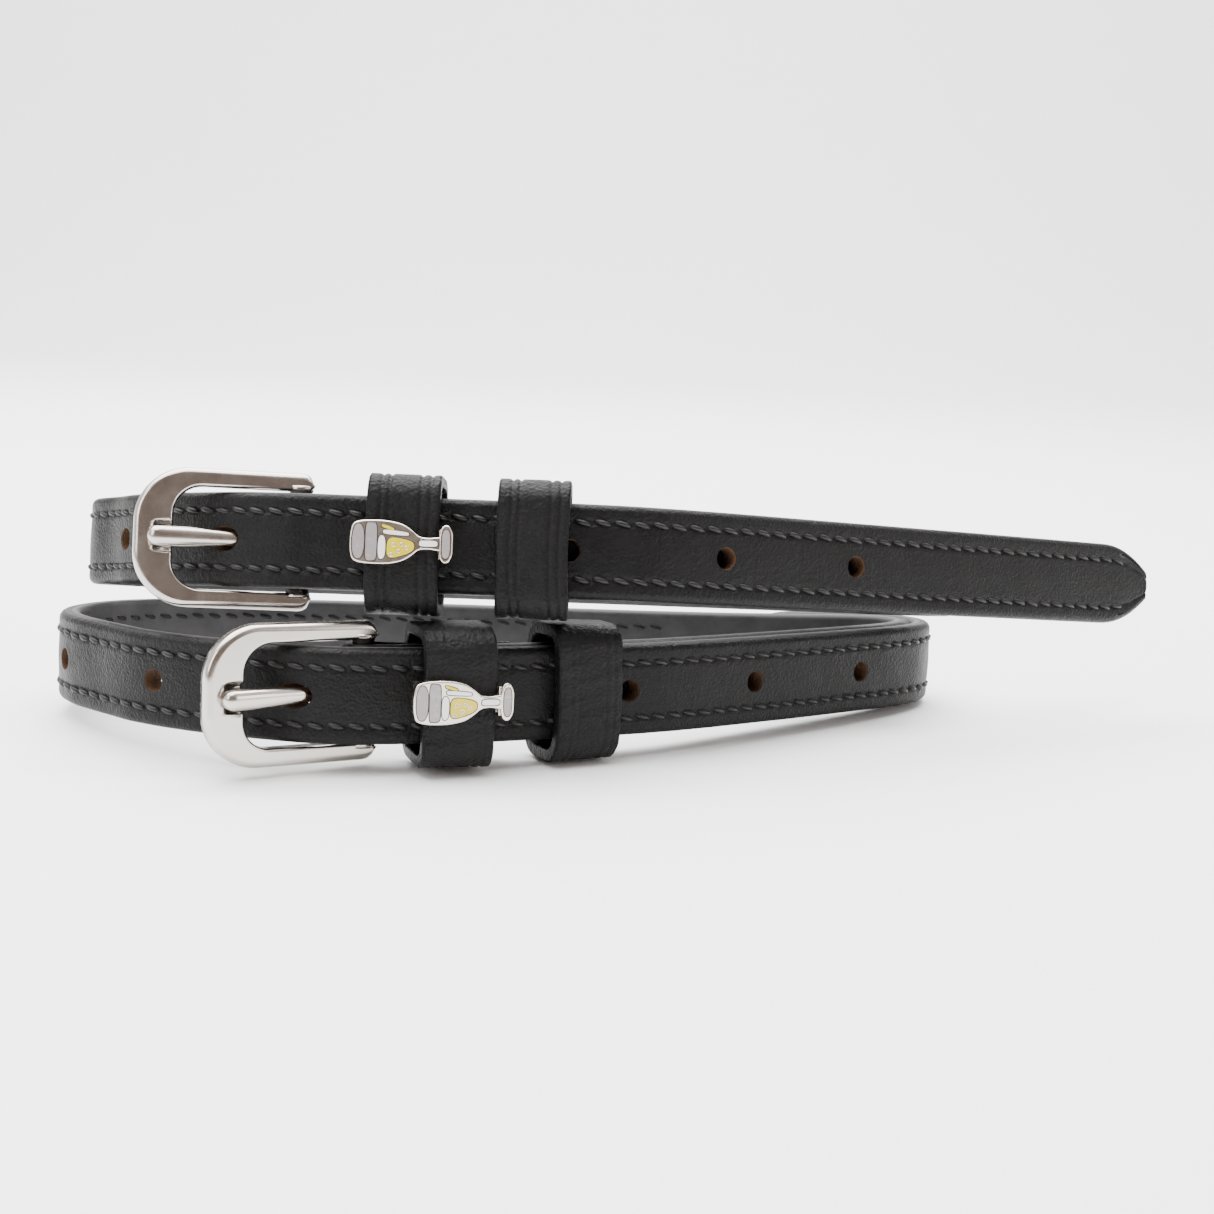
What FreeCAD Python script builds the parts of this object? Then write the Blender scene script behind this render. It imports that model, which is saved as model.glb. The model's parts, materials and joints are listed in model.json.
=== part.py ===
"""A pair of stitched leather spur straps, each buckled into a loop and standing on its edge."""

import FreeCAD, Part
import math
import os

Vector = FreeCAD.Vector
UP = Vector(0, 0, 1)

doc = FreeCAD.newDocument("spur_straps")

# ---------------------------------------------------------------- driving dimensions (mm, degrees)
SIZES = {
    # the band: two leathers stitched back to back
    "strap_width": 14.0,
    "face_thickness": 1.8,
    "lining_thickness": 1.4,
    "layer_gap": 0.3,
    "lining_start": 6.0,
    "free_length": 168.0,
    "end_overlap": 6.0,
    "shortest_stretch": 6.0,
    "hole_diameter": 3.3,
    "hole_spacing": 25.0,
    "point_length": 11.0,
    "point_end_width": 4.8,
    # the fold round the buckle bar
    "bar_diameter": 3.0,
    "bar_root": 1.0,
    "bar_clearance": 0.1,
    "turnback_length": 24.0,
    "turnback_gap": 0.15,
    "turnback_straight": 0.8,
    "turnback_settle": 2.0,
    "tongue_slot_width": 4.2,
    "tongue_slot_length": 9.5,
    # stitching
    "stitch_pitch": 3.0,
    "stitch_length": 2.5,
    "stitch_width": 0.8,
    "stitch_height": 0.3,
    "stitch_inset": 2.8,
    "stitch_slant": 12.0,
    "stitch_lift": 0.03,
    "stitch_start": 10.0,
    # buckle frame
    "frame_length": 26.0,
    "frame_side_clearance": 0.6,
    "frame_side_width": 2.7,
    "frame_thickness": 2.8,
    "frame_heel": 2.0,
    "bow_width": 5.6,
    "bow_corner_radius": 8.0,
    "bow_inner_radius": 4.2,
    "heel_corner_radius": 1.9,
    "frame_edge_radius": 0.9,
    "frame_angle": 19.5,
    "frame_swing": 1.5,
    "notch_width": 3.8,
    "notch_length": 2.6,
    "notch_depth": 1.0,
    # buckle tongue
    "tongue_setback": 1.9,
    "tongue_root_radius": 1.1,
    "tongue_tip_radius": 1.5,
    "tongue_eye_radius": 2.9,
    "tongue_eye_width": 3.4,
    "tongue_eye_clearance": 0.05,
    "tongue_clearance": 0.3,
    "tongue_lift": 3.0,
    # keepers
    "keeper_thickness": 1.8,
    "keeper_width": 10.6,
    "keeper_end_gap": 1.5,
    "keeper_corner_radius": 3.8,
    "fixed_keeper_gap": 1.6,
    "fixed_keeper_back_gap": 0.35,
    "running_keeper_gap": 0.75,
    "lower_fixed_distance": 13.0,
    "upper_fixed_distance": 17.2,
    "lower_running_distance": 33.4,
    "upper_running_distance": 36.0,
    # slide charm
    "charm_length": 15.0,
    "charm_height": 6.4,
    "charm_plate": 1.3,
    "charm_back": 0.8,
    "charm_side_wall": 1.0,
    "charm_channel_clearance": 0.15,
    "charm_slider_height": 4.2,
    "enamel_depth": 0.4,
    # how far a cutting shape runs past what it cuts, and past one thin leather
    "cut_margin": 5.0,
    "leather_cut_margin": 0.5,
    # where the two loops stand
    "lower_tilt": 3.8,
    "upper_tilt": 11.0,
    "stack_gap": 0.6,
    "upper_setback": 8.0,
}

# Sizes that follow from the ones above, so that the parts still fit when one of those changes.
SIZES["frame_inner_height"] = SIZES["strap_width"] + 2 * SIZES["frame_side_clearance"]
SIZES["frame_height"] = SIZES["frame_inner_height"] + 2 * SIZES["frame_side_width"]
SIZES["tongue_length"] = SIZES["frame_length"] - SIZES["frame_heel"] - SIZES["tongue_setback"]
keeper_ends = SIZES["keeper_end_gap"] + SIZES["keeper_thickness"]
SIZES["keeper_height"] = SIZES["strap_width"] + 2 * keeper_ends
SIZES["upper_rise"] = SIZES["keeper_height"] + SIZES["stack_gap"]

sheet = doc.addObject("Spreadsheet::Sheet", "Sizes")
for row, (alias, value) in enumerate(SIZES.items(), start=1):
    sheet.set(f"A{row}", alias)
    sheet.set(f"B{row}", str(round(value, 4)))
    sheet.setAlias(f"B{row}", alias)
doc.recompute()


def size(alias):
    """The value of one named cell."""
    return float(sheet.get(alias))


STRAP_THICKNESS = size("face_thickness") + size("lining_thickness")
LAYER_STEP = STRAP_THICKNESS + size("layer_gap")
FOLD_INNER = size("bar_diameter") / 2 + size("bar_clearance")
FOLD_OUTER = FOLD_INNER + size("face_thickness")
BAR_DEPTH = LAYER_STEP + FOLD_OUTER
# Spacing of the points that a route, and one stretch of leather on it, are drawn through.
COARSE_STEP, FINE_STEP = 6.0, 3.0

# Plan outlines of the outer face, seen from above with the buckle side towards -Y. "front" runs
# from the left bend, over the buckle bar and along the free end. "back" runs from the right bend
# along the back wall and into the left bend. "leave" is the X at which the under layer turns away
# from a free end that runs straight on; without it the under layer follows the free end to its tip.
ROUTES = {
    "lower": {
        "front": [
            (-72, 17), (-65, 10.6), (-57.5, 6.2), (-49.5, 3.0), (-42, 0.7), (-35, 0), (-29, 0.9),
            (-22, 2.7), (-15, 4.9), (-8, 7.7), (-2, 10.5), (4, 13.3), (10, 16.2), (17, 20.4),
            (24.2, 25.4), (32.8, 31.6), (41.6, 38.2), (50.6, 45.2), (58.4, 52.0), (63.6, 59.4),
            (63.6, 67.2), (58.0, 72.2), (49, 72.4), (38, 70.0), (26, 67.8), (12, 66.4), (-4, 65.6),
        ],
        "back": [
            (-24, 61.6), (-44, 60.4), (-60, 57.8), (-74, 52.4), (-82.0, 43.8), (-83.4, 34.0),
            (-79.4, 25),
        ],
        "bar": -31.0,
    },
    "upper": {
        "front": [
            (-75.2, 25.6), (-70.8, 18.9), (-65.4, 13.0), (-59.6, 8.5), (-54.0, 5.0), (-48.8, 2.6),
            (-43.2, 1.3), (-37, 1.0), (-31, 0.8), (-24, 0.6), (-17, 0.4), (-10, 0.2), (-3, 0.0),
            (4, 0.6), (11, 2.4), (18, 5.2), (26, 9.2), (35, 14.1), (45, 19.5), (56, 25.4),
            (68, 31.9), (80, 38.6), (92, 45.4), (104, 52.3), (116, 59.2),
        ],
        "leave": 61.0,
        "back": [
            (63.8, 37.6), (61.2, 45.0), (53.4, 48.2), (38, 47.8), (14, 47.4), (-14, 47.4),
            (-42, 48.0), (-62, 48.4), (-73.8, 46.0), (-80.2, 39.8), (-79.8, 32.0),
        ],
        "bar": -44.0,
    },
}


# ---------------------------------------------------------------- plan curves
def smooth_edge(points, start_direction=None, end_direction=None):
    """One smooth edge through plan points, with set directions at its ends if they are given."""
    curve = Part.BSplineCurve()
    if start_direction is None:
        curve.interpolate(Points=points)
    else:
        curve.interpolate(Points=points, InitialTangent=start_direction, FinalTangent=end_direction)
    return curve.toShape()


def station(edge, distance):
    """Point, direction and inward direction at a distance along a plan edge."""
    parameter = edge.getParameterByLength(distance)
    direction = edge.tangentAt(parameter)
    return edge.valueAt(parameter), direction, UP.cross(direction)


def distance_at_x(edge, x, low, high):
    """Distance along an edge whose X grows from low to high, at the given X."""
    for _ in range(40):
        middle = (low + high) / 2
        if station(edge, middle)[0].x < x:
            low = middle
        else:
            high = middle
    return low


def offset_points(edge, start, end, inset, step=FINE_STEP):
    """Evenly spaced points beside an edge, moved inwards."""
    count = max(4, round((end - start) / step))
    points = []
    for index in range(count + 1):
        point, _, inward = station(edge, start + (end - start) * index / count)
        points.append(point + inward * inset)
    return points


class Strap:
    """The plan of one buckled strap: where its band, bar, holes and keepers are."""

    def __init__(self, name):
        self.name = name
        route = ROUTES[name]
        front = smooth_edge([Vector(x, y, 0) for x, y in route["front"]])
        rising = front.Length * 0.6
        front_bar = distance_at_x(front, route["bar"], 0, rising)
        foot, direction, inward = station(front, front_bar)
        self.bar = foot + inward * BAR_DEPTH
        self.heading = math.degrees(math.atan2(direction.y, direction.x))
        self.frame_heading = self.heading + 180 + size("frame_angle")
        self.tongue_heading = self.frame_heading + tongue_angle()
        front_hole = self.tongue_crossing(front, front_bar)
        front_end = front_hole + size("free_length")
        if "leave" in route:
            leave = distance_at_x(front, route["leave"], front_bar, front.Length)
        else:
            leave = front_end - size("end_overlap")
        under = offset_points(front, front_bar, leave, LAYER_STEP, COARSE_STEP)
        back = [Vector(x, y, 0) for x, y in route["back"]]
        over = offset_points(front, 0, front_end, 0, COARSE_STEP)
        self.line = smooth_edge(under + back + over)
        over_start = self.line.Length - front_end
        self.hole = over_start + front_hole
        self.over_bar = over_start + front_bar
        self.leave = leave - front_bar

    def tongue_crossing(self, front, front_bar):
        """Distance along the free end where the tongue's axis meets the middle of the band."""
        heading = math.radians(self.tongue_heading)
        axis = Vector(math.cos(heading), math.sin(heading), 0)
        low, high = front_bar - size("tongue_length"), front_bar
        for _ in range(40):
            middle = (low + high) / 2
            point, _, inward = station(front, middle)
            offset = point + inward * (STRAP_THICKNESS / 2) - self.bar
            if axis.cross(offset).z < 0:
                low = middle
            else:
                high = middle
        return low

    def holes(self):
        """Distances of the punched holes along the band."""
        return [self.hole + size("hole_spacing") * index for index in range(-2, 5)]

    def local(self, distance, inset, height, turn=0.0):
        """Placement on the band, its x along the band and its y inwards."""
        point, direction, inward = station(self.line, distance)
        base = point + inward * inset + UP * height
        heading = math.degrees(math.atan2(direction.y, direction.x)) + turn
        return FreeCAD.Placement(base, FreeCAD.Rotation(UP, heading))

    def at_bar(self, heading):
        """Placement with its origin on the bar's axis at half the band's width."""
        base = self.bar + UP * (size("strap_width") / 2)
        return FreeCAD.Placement(base, FreeCAD.Rotation(UP, heading))


def bow_inner_distance():
    """From the bar's axis to the inner edge of the bow."""
    return size("frame_length") - size("frame_heel") - size("bow_width")


def tongue_angle():
    """How far the tongue stands out from the plane of the frame when it lies in its notch."""
    floor = size("frame_thickness") / 2 - size("notch_depth")
    lift = floor + size("tongue_clearance") + size("tongue_tip_radius")
    return math.degrees(math.atan2(lift, bow_inner_distance()))


# ---------------------------------------------------------------- leather band
def tongue_room(strap, turn):
    """The space that the tongue takes up with its clearance, turned about the bar."""
    gap = size("tongue_clearance")
    tip = size("tongue_tip_radius") + gap
    reach = size("tongue_length") - size("tongue_tip_radius")
    root = size("tongue_root_radius") + gap
    room = Part.makeCone(root, tip, reach, Vector(0, 0, 0), Vector(1, 0, 0))
    room = room.fuse(Part.makeSphere(tip, Vector(reach, 0, 0)))
    room.Placement = strap.at_bar(strap.tongue_heading + turn)
    return room


def stretch(strap, start, end, inner, outer):
    """A short stretch of leather standing on its edge between two insets."""
    first, last = station(strap.line, start)[1], station(strap.line, end)[1]
    outside = smooth_edge(offset_points(strap.line, start, end, outer), first, last)
    inside = smooth_edge(offset_points(strap.line, start, end, inner), first, last)
    caps = [Part.makeLine(outside.valueAt(outside.FirstParameter),
                          inside.valueAt(inside.FirstParameter)),
            Part.makeLine(outside.valueAt(outside.LastParameter),
                          inside.valueAt(inside.LastParameter))]
    wire = Part.Wire(Part.__sortEdges__([outside, caps[1], inside, caps[0]]))
    return Part.Face(wire).extrude(UP * size("strap_width"))


def band(strap, start, inner, outer):
    """One leather of the band from a distance to its point, with everything cut out of it."""
    spacing = size("hole_spacing")
    shortest = size("shortest_stretch")
    first_cut = strap.hole + spacing / 2
    first_cut -= math.floor((first_cut - start - shortest) / spacing) * spacing
    ends = [start]
    while first_cut < strap.line.Length - shortest:
        ends.append(first_cut)
        first_cut += spacing
    ends.append(strap.line.Length)
    holes = strap.holes()
    pieces = []
    for low, high in zip(ends, ends[1:]):
        piece = stretch(strap, low, high, inner, outer)
        cutters = [hole_cutter(strap, hole) for hole in holes if low < hole < high]
        if low < strap.hole < high:
            cutters += tongue_rooms(strap)
        if high == strap.line.Length:
            cutters += point_cutters(strap)
        for cutter in cutters:
            piece = piece.cut(cutter)
        pieces.append(piece)
    return pieces


def fold(strap):
    """The leather turned round the bar and back along the inside of the band."""
    along = FreeCAD.Rotation(UP, strap.heading).multVec(Vector(1, 0, 0))
    inward = UP.cross(along)
    end_inset = LAYER_STEP + STRAP_THICKNESS + size("turnback_gap")
    settle = size("lining_start") + size("turnback_settle")
    outline = []
    for radius, inset in ((FOLD_OUTER, end_inset + size("face_thickness")), (FOLD_INNER, end_inset)):
        near = strap.bar - inward * radius
        left = strap.bar - along * radius
        far = strap.bar + inward * radius
        arc = Part.Arc(near, left, far).toShape()
        flap = [far, far + along * size("turnback_straight")]
        distance = settle
        while distance <= size("turnback_length"):
            point, _, inwards = station(strap.line, strap.over_bar + distance)
            flap.append(point + inwards * inset)
            distance += FINE_STEP
        outline.append((arc, smooth_edge(flap), near, flap[-1]))
    (arc_out, flap_out, near_out, end_out), (arc_in, flap_in, near_in, end_in) = outline
    edges = [arc_out, flap_out, Part.makeLine(end_out, end_in), flap_in, arc_in,
             Part.makeLine(near_in, near_out)]
    wire = Part.Wire(Part.__sortEdges__(edges))
    return Part.Face(wire).extrude(UP * size("strap_width"))


def point_cutters(strap):
    """Two corner pieces that leave the free end with its blunt point."""
    width = size("strap_width")
    length = size("point_length")
    half_end = size("point_end_width") / 2
    margin = size("leather_cut_margin")
    cutters = []
    for side in (-1, 1):
        start = Vector(-length, 0, side * width / 2)
        bulge = Vector(-length * 0.38, 0, side * (width * 0.36 + half_end * 0.10))
        tip = Vector(0, 0, side * half_end)
        curve = Part.Arc(start, bulge, tip).toShape()
        reach = Vector(margin, 0, side * half_end)
        corner = Vector(margin, 0, side * (width / 2 + margin))
        behind = Vector(-length, 0, side * (width / 2 + margin))
        sides = Part.makePolygon([tip, reach, corner, behind, start]).Edges
        face = Part.Face(Part.Wire(Part.__sortEdges__([curve] + sides)))
        cutter = face.extrude(Vector(0, STRAP_THICKNESS + 2 * margin, 0))
        cutter.Placement = strap.local(strap.line.Length, -margin, width / 2)
        cutters.append(cutter)
    return cutters


def hole_cutter(strap, distance):
    """A punched hole through both leathers of the free end."""
    margin = size("leather_cut_margin")
    reach = STRAP_THICKNESS + size("layer_gap") / 2 + margin
    hole = Part.makeCylinder(size("hole_diameter") / 2, reach, Vector(0, 0, 0), Vector(0, 1, 0))
    hole.Placement = strap.local(distance, -margin, size("strap_width") / 2)
    return hole


def tongue_rooms(strap):
    """The tongue's way through the free end over its whole travel."""
    swing, lift = size("frame_swing"), size("tongue_lift")
    return [tongue_room(strap, turn) for turn in (0, swing, lift, lift + swing)]


def tongue_slot(strap):
    """The slot in the fold that the tongue's eye sits in."""
    length = size("tongue_slot_length")
    width = size("tongue_slot_width")
    depth = 2 * (FOLD_OUTER + size("leather_cut_margin"))
    slot = Part.makeBox(length, depth, width, Vector(-length / 2, -depth / 2, -width / 2))
    centre = strap.bar + UP * (size("strap_width") / 2)
    slot.Placement = FreeCAD.Placement(centre, FreeCAD.Rotation(UP, strap.heading))
    keep = size("layer_gap") / 2
    guard = Part.makeBox(length, depth, width, Vector(-length / 2, -depth - FOLD_OUTER - keep,
                                                      -width / 2))
    guard.Placement = slot.Placement
    return slot.cut(guard)


def leather_feature(name, shape, placement):
    """A curved leather piece, which has no primitive of its own."""
    feature = doc.addObject("Part::Feature", name)
    feature.Label = name
    feature.Shape = shape
    feature.Placement = placement
    return feature


def build_band(strap, placement):
    """Face leather with its fold, and the lining."""
    pieces = band(strap, 0, size("face_thickness"), 0)
    turned = pieces[0].fuse(fold(strap)).cut(tongue_slot(strap))
    face = turned.fuse(pieces[1:])
    lining = band(strap, size("lining_start"), STRAP_THICKNESS, size("face_thickness"))
    lining = lining[0].fuse(lining[1:])
    return [leather_feature(f"{strap.name}_face_leather", face, placement),
            leather_feature(f"{strap.name}_lining", lining, placement)]


# ---------------------------------------------------------------- stitching
def stitch(strap, distance, height, slant):
    """One raised stitch lying on the outside of the band."""
    length, width, proud = size("stitch_length"), size("stitch_width"), size("stitch_height")
    lift = size("stitch_lift")
    body = Part.makeBox(length, proud, width, Vector(-length / 2, -proud - lift, -width / 2))
    body.rotate(Vector(0, 0, 0), Vector(0, 1, 0), slant)
    body.Placement = strap.local(distance, 0, height).multiply(body.Placement)
    return body


def stitch_row(strap, height, first, last):
    """Evenly spaced stitches at one height of the band."""
    pitch = size("stitch_pitch")
    count = int((last - first) / pitch)
    return [stitch(strap, first + pitch * index, height, size("stitch_slant"))
            for index in range(count + 1)]


def build_stitching(strap, placement):
    """The two long rows, from where the band comes out from under its own free end."""
    inset = size("stitch_inset")
    first = strap.leave + size("stitch_start")
    last = strap.line.Length - size("point_length")
    features = []
    for row, height in (("upper_row", size("strap_width") - inset), ("lower_row", inset)):
        feature = doc.addObject("Part::Feature", f"{strap.name}_stitching_{row}")
        feature.Label = f"{strap.name}_stitching_{row}"
        feature.Shape = Part.makeCompound(stitch_row(strap, height, first, last))
        feature.Placement = placement
        features.append(feature)
    return features


# ---------------------------------------------------------------- buckle
def bind(feature, **expressions):
    """Ties properties of a feature to cells of the sheet."""
    for path, expression in expressions.items():
        feature.setExpression(path.replace("__", "."), expression)
    return feature


def rounded_box(name, sizes, offset, axis, radii):
    """A box with its four edges along one axis rounded, by the sign of where each edge lies."""
    box = doc.addObject("Part::Box", f"{name}_block")
    bind(box, Length=sizes[0], Width=sizes[1], Height=sizes[2], Placement__Base__x=offset[0],
         Placement__Base__y=offset[1], Placement__Base__z=offset[2])
    doc.recompute()
    centre = box.Shape.BoundBox.Center
    rounded = doc.addObject("Part::Fillet", name)
    rounded.Base = box
    edges = []
    for index, edge in enumerate(box.Shape.Edges, start=1):
        if abs(edge.tangentAt(edge.FirstParameter).dot(axis)) > 0.9:
            radius = size(radii[0] if edge.CenterOfMass.x < centre.x else radii[1])
            edges.append((index, radius, radius))
    rounded.Edges = edges
    return rounded


def build_frame(strap, placement):
    """The D-shaped frame: two side bars and a broad bow, with the round bar between the heels."""
    name = f"{strap.name}_buckle_frame"
    across = Vector(0, 1, 0)
    outer = rounded_box(f"{name}_outer",
                        ("Sizes.frame_length", "Sizes.frame_thickness", "Sizes.frame_height"),
                        ("-Sizes.frame_heel", "-Sizes.frame_thickness / 2",
                         "-Sizes.frame_height / 2"),
                        across, ("heel_corner_radius", "bow_corner_radius"))
    inner = rounded_box(f"{name}_inner",
                        ("Sizes.frame_length - Sizes.bow_width + Sizes.cut_margin",
                         "Sizes.frame_thickness * 3", "Sizes.frame_inner_height"),
                        ("-Sizes.frame_heel - Sizes.cut_margin", "-Sizes.frame_thickness * 1.5",
                         "-Sizes.frame_inner_height / 2"),
                        across, ("heel_corner_radius", "bow_inner_radius"))
    doc.recompute()
    soft = doc.addObject("Part::Fillet", f"{name}_soft")
    soft.Base = outer
    radius = size("frame_edge_radius")
    half = size("frame_thickness") / 2
    soft.Edges = [(index, radius, radius)
                  for index, edge in enumerate(outer.Shape.Edges, start=1)
                  if abs(abs(edge.CenterOfMass.y) - half) < 0.01]
    window = doc.addObject("Part::Cut", f"{name}_window")
    window.Base, window.Tool = soft, inner
    notch = doc.addObject("Part::Box", f"{name}_notch")
    bind(notch, Length="Sizes.notch_length + Sizes.cut_margin",
         Width="Sizes.notch_depth + Sizes.cut_margin", Height="Sizes.notch_width",
         Placement__Base__x="Sizes.frame_length - Sizes.frame_heel - Sizes.bow_width"
                            " - Sizes.cut_margin",
         Placement__Base__y="Sizes.frame_thickness / 2 - Sizes.notch_depth",
         Placement__Base__z="-Sizes.notch_width / 2")
    trough = doc.addObject("Part::Feature", f"{name}_trough")
    room = tongue_room(strap, 0)
    trough.Shape = room.transformed(strap.at_bar(strap.frame_heading).inverse().toMatrix(), copy=True)
    cuts = doc.addObject("Part::MultiFuse", f"{name}_cuts")
    cuts.Shapes = [notch, trough]
    notched = doc.addObject("Part::Cut", f"{name}_notched")
    notched.Base, notched.Tool = window, cuts
    bar = doc.addObject("Part::Cylinder", f"{name}_bar")
    bind(bar, Radius="Sizes.bar_diameter / 2", Height="Sizes.frame_inner_height + 2 * Sizes.bar_root",
         Placement__Base__z="-Sizes.frame_inner_height / 2 - Sizes.bar_root")
    frame = doc.addObject("Part::Fuse", name)
    frame.Label = name
    frame.Base, frame.Tool = notched, bar
    frame.Placement = placement.multiply(strap.at_bar(strap.frame_heading))
    return frame


def build_tongue(strap, placement):
    """The tongue: an eye on the bar, a tapered shank and a round tip."""
    name = f"{strap.name}_buckle_tongue"
    eye = doc.addObject("Part::Cylinder", f"{name}_eye")
    bind(eye, Radius="Sizes.tongue_eye_radius", Height="Sizes.tongue_eye_width",
         Placement__Base__z="-Sizes.tongue_eye_width / 2")
    shank = doc.addObject("Part::Cone", f"{name}_shank")
    shank.Placement.Rotation = FreeCAD.Rotation(Vector(0, 1, 0), 90)
    bind(shank, Radius1="Sizes.tongue_root_radius", Radius2="Sizes.tongue_tip_radius",
         Height="Sizes.tongue_length - Sizes.tongue_tip_radius")
    tip = doc.addObject("Part::Sphere", f"{name}_tip")
    bind(tip, Radius="Sizes.tongue_tip_radius",
         Placement__Base__x="Sizes.tongue_length - Sizes.tongue_tip_radius")
    solid = doc.addObject("Part::MultiFuse", f"{name}_solid")
    solid.Shapes = [eye, shank, tip]
    bore = doc.addObject("Part::Cylinder", f"{name}_bore")
    bind(bore, Radius="Sizes.bar_diameter / 2 + Sizes.tongue_eye_clearance",
         Height="Sizes.tongue_eye_width * 2", Placement__Base__z="-Sizes.tongue_eye_width")
    tongue = doc.addObject("Part::Cut", name)
    tongue.Label = name
    tongue.Base, tongue.Tool = solid, bore
    tongue.Placement = placement.multiply(strap.at_bar(strap.tongue_heading))
    return tongue


# ---------------------------------------------------------------- keepers
def keeper_ring(name, front_gap, depth):
    """A closed leather loop, straight sides and round corners, its x along the band."""
    along = Vector(1, 0, 0)
    wall = "Sizes.keeper_thickness"
    outer = rounded_box(f"{name}_outer", ("Sizes.keeper_width", f"{depth} + 2 * {wall}",
                                          "Sizes.keeper_height"),
                        ("-Sizes.keeper_width / 2", f"-{front_gap} - {wall}",
                         "-Sizes.keeper_height / 2"),
                        along, ("keeper_corner_radius", "keeper_corner_radius"))
    inner = doc.addObject("Part::Box", f"{name}_space")
    bind(inner, Length="Sizes.keeper_width * 2", Width=depth,
         Height=f"Sizes.keeper_height - 2 * {wall}", Placement__Base__x="-Sizes.keeper_width",
         Placement__Base__y=f"-{front_gap}",
         Placement__Base__z=f"-Sizes.keeper_height / 2 + {wall}")
    doc.recompute()
    space = doc.addObject("Part::Fillet", f"{name}_soft_space")
    space.Base = inner
    radius = size("keeper_corner_radius") - size("keeper_thickness")
    space.Edges = [(index, radius, radius)
                   for index, edge in enumerate(inner.Shape.Edges, start=1)
                   if abs(edge.tangentAt(edge.FirstParameter).dot(along)) > 0.9]
    ring = doc.addObject("Part::Cut", name)
    ring.Label = name
    ring.Base, ring.Tool = outer, space
    return ring


def build_keepers(strap, placement):
    """The fixed keeper, sewn round all the layers, and the loose one that runs along them."""
    both = "Sizes.face_thickness + Sizes.lining_thickness + Sizes.layer_gap"
    both += " + Sizes.face_thickness + Sizes.lining_thickness"
    middle = size("strap_width") / 2
    fixed = keeper_ring(f"{strap.name}_fixed_keeper", "Sizes.fixed_keeper_gap",
                        f"({both} + Sizes.turnback_gap + Sizes.face_thickness"
                        " + Sizes.fixed_keeper_gap + Sizes.fixed_keeper_back_gap)")
    fixed_at = strap.local(strap.over_bar + size(f"{strap.name}_fixed_distance"), 0, middle)
    fixed.Placement = placement.multiply(fixed_at)
    running = keeper_ring(f"{strap.name}_running_keeper", "Sizes.running_keeper_gap",
                          f"({both} + 2 * Sizes.running_keeper_gap)")
    running_at = strap.local(strap.over_bar + size(f"{strap.name}_running_distance"), 0, middle)
    running.Placement = placement.multiply(running_at)
    return [fixed, running]


# ---------------------------------------------------------------- slide charm
def mirrored_outline(half):
    """A closed outline from its upper half, by turning it over the x axis."""
    return half + [(x, -z) for x, z in reversed(half[1:-1])]


def flat_piece(points, y_front, depth):
    """A plate with a smooth outline in x and z, its front at the given y."""
    curve = Part.BSplineCurve()
    curve.interpolate(Points=[Vector(x, y_front, z) for x, z in points], PeriodicFlag=True)
    face = Part.Face(Part.Wire(curve.toShape()))
    return face.extrude(Vector(0, depth, 0))


def charm_outlines():
    """Bowl, stem and foot of the glass, lying on its side with the rim to the left."""
    long, tall = size("charm_length") / 2, size("charm_height") / 2
    bowl = mirrored_outline([
        (-long, 0), (-long * 0.975, tall * 0.5), (-long * 0.88, tall * 0.88),
        (-long * 0.62, tall), (-long * 0.3, tall * 0.97), (-long * 0.02, tall * 0.75),
        (long * 0.2, tall * 0.42), (long * 0.3, tall * 0.2), (long * 0.33, 0)])
    foot = mirrored_outline([
        (long * 0.7, 0), (long * 0.71, tall * 0.42), (long * 0.74, tall * 0.74),
        (long * 0.84, tall * 0.87), (long * 0.94, tall * 0.66), (long, 0)])
    return bowl, foot


def scaled(points, share_x, share_z, shift=0.0):
    """An outline drawn in about its own middle."""
    middle = (max(x for x, _ in points) + min(x for x, _ in points)) / 2
    return [((x - middle) * share_x + middle + shift, z * share_z) for x, z in points]


def enamel_cells():
    """Outlines of the enamel fields, by colour."""
    long, tall = size("charm_length") / 2, size("charm_height") / 2
    bowl, foot = charm_outlines()
    half_wine = [(-long * 0.22, 0), (-long * 0.235, tall * 0.35), (-long * 0.25, tall * 0.7),
                 (-long * 0.1, tall * 0.68), (long * 0.08, tall * 0.48), (long * 0.19, tall * 0.22),
                 (long * 0.21, 0)]
    half_glass = [(-long * 0.68, 0), (-long * 0.69, tall * 0.45), (-long * 0.72, tall * 0.83),
                  (-long * 0.58, tall * 0.87), (-long * 0.46, tall * 0.84),
                  (-long * 0.44, tall * 0.45), (-long * 0.43, 0)]
    half_rim = [(-long * 0.95, 0), (-long * 0.935, tall * 0.4), (-long * 0.87, tall * 0.72),
                (-long * 0.78, tall * 0.72), (-long * 0.745, tall * 0.4), (-long * 0.735, 0)]
    half_surface = [(-long * 0.39, 0), (-long * 0.4, tall * 0.4), (-long * 0.39, tall * 0.72),
                    (-long * 0.33, tall * 0.8), (-long * 0.28, tall * 0.5), (-long * 0.27, 0)]
    half_foot = scaled(foot, 0.62, 0.8)[: len(foot) // 2 + 1]
    half_stem = [(long * 0.36, 0), (long * 0.38, tall * 0.13), (long * 0.5, tall * 0.14),
                 (long * 0.64, tall * 0.13), (long * 0.66, 0)]
    return {
        "yellow": [mirrored_outline(half_wine)],
        "grey": [mirrored_outline(half_glass), mirrored_outline(half_foot)],
        "white": [mirrored_outline(half_rim), mirrored_outline(half_surface),
                  mirrored_outline(half_stem)],
    }


def charm_depths():
    """Insets of the charm's front face and of its channel's front and back."""
    wall = size("keeper_thickness")
    clearance = size("charm_channel_clearance")
    channel_back = -size("fixed_keeper_gap") + clearance
    channel_front = -size("fixed_keeper_gap") - wall - clearance
    return channel_front - size("charm_plate"), channel_front, channel_back


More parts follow.
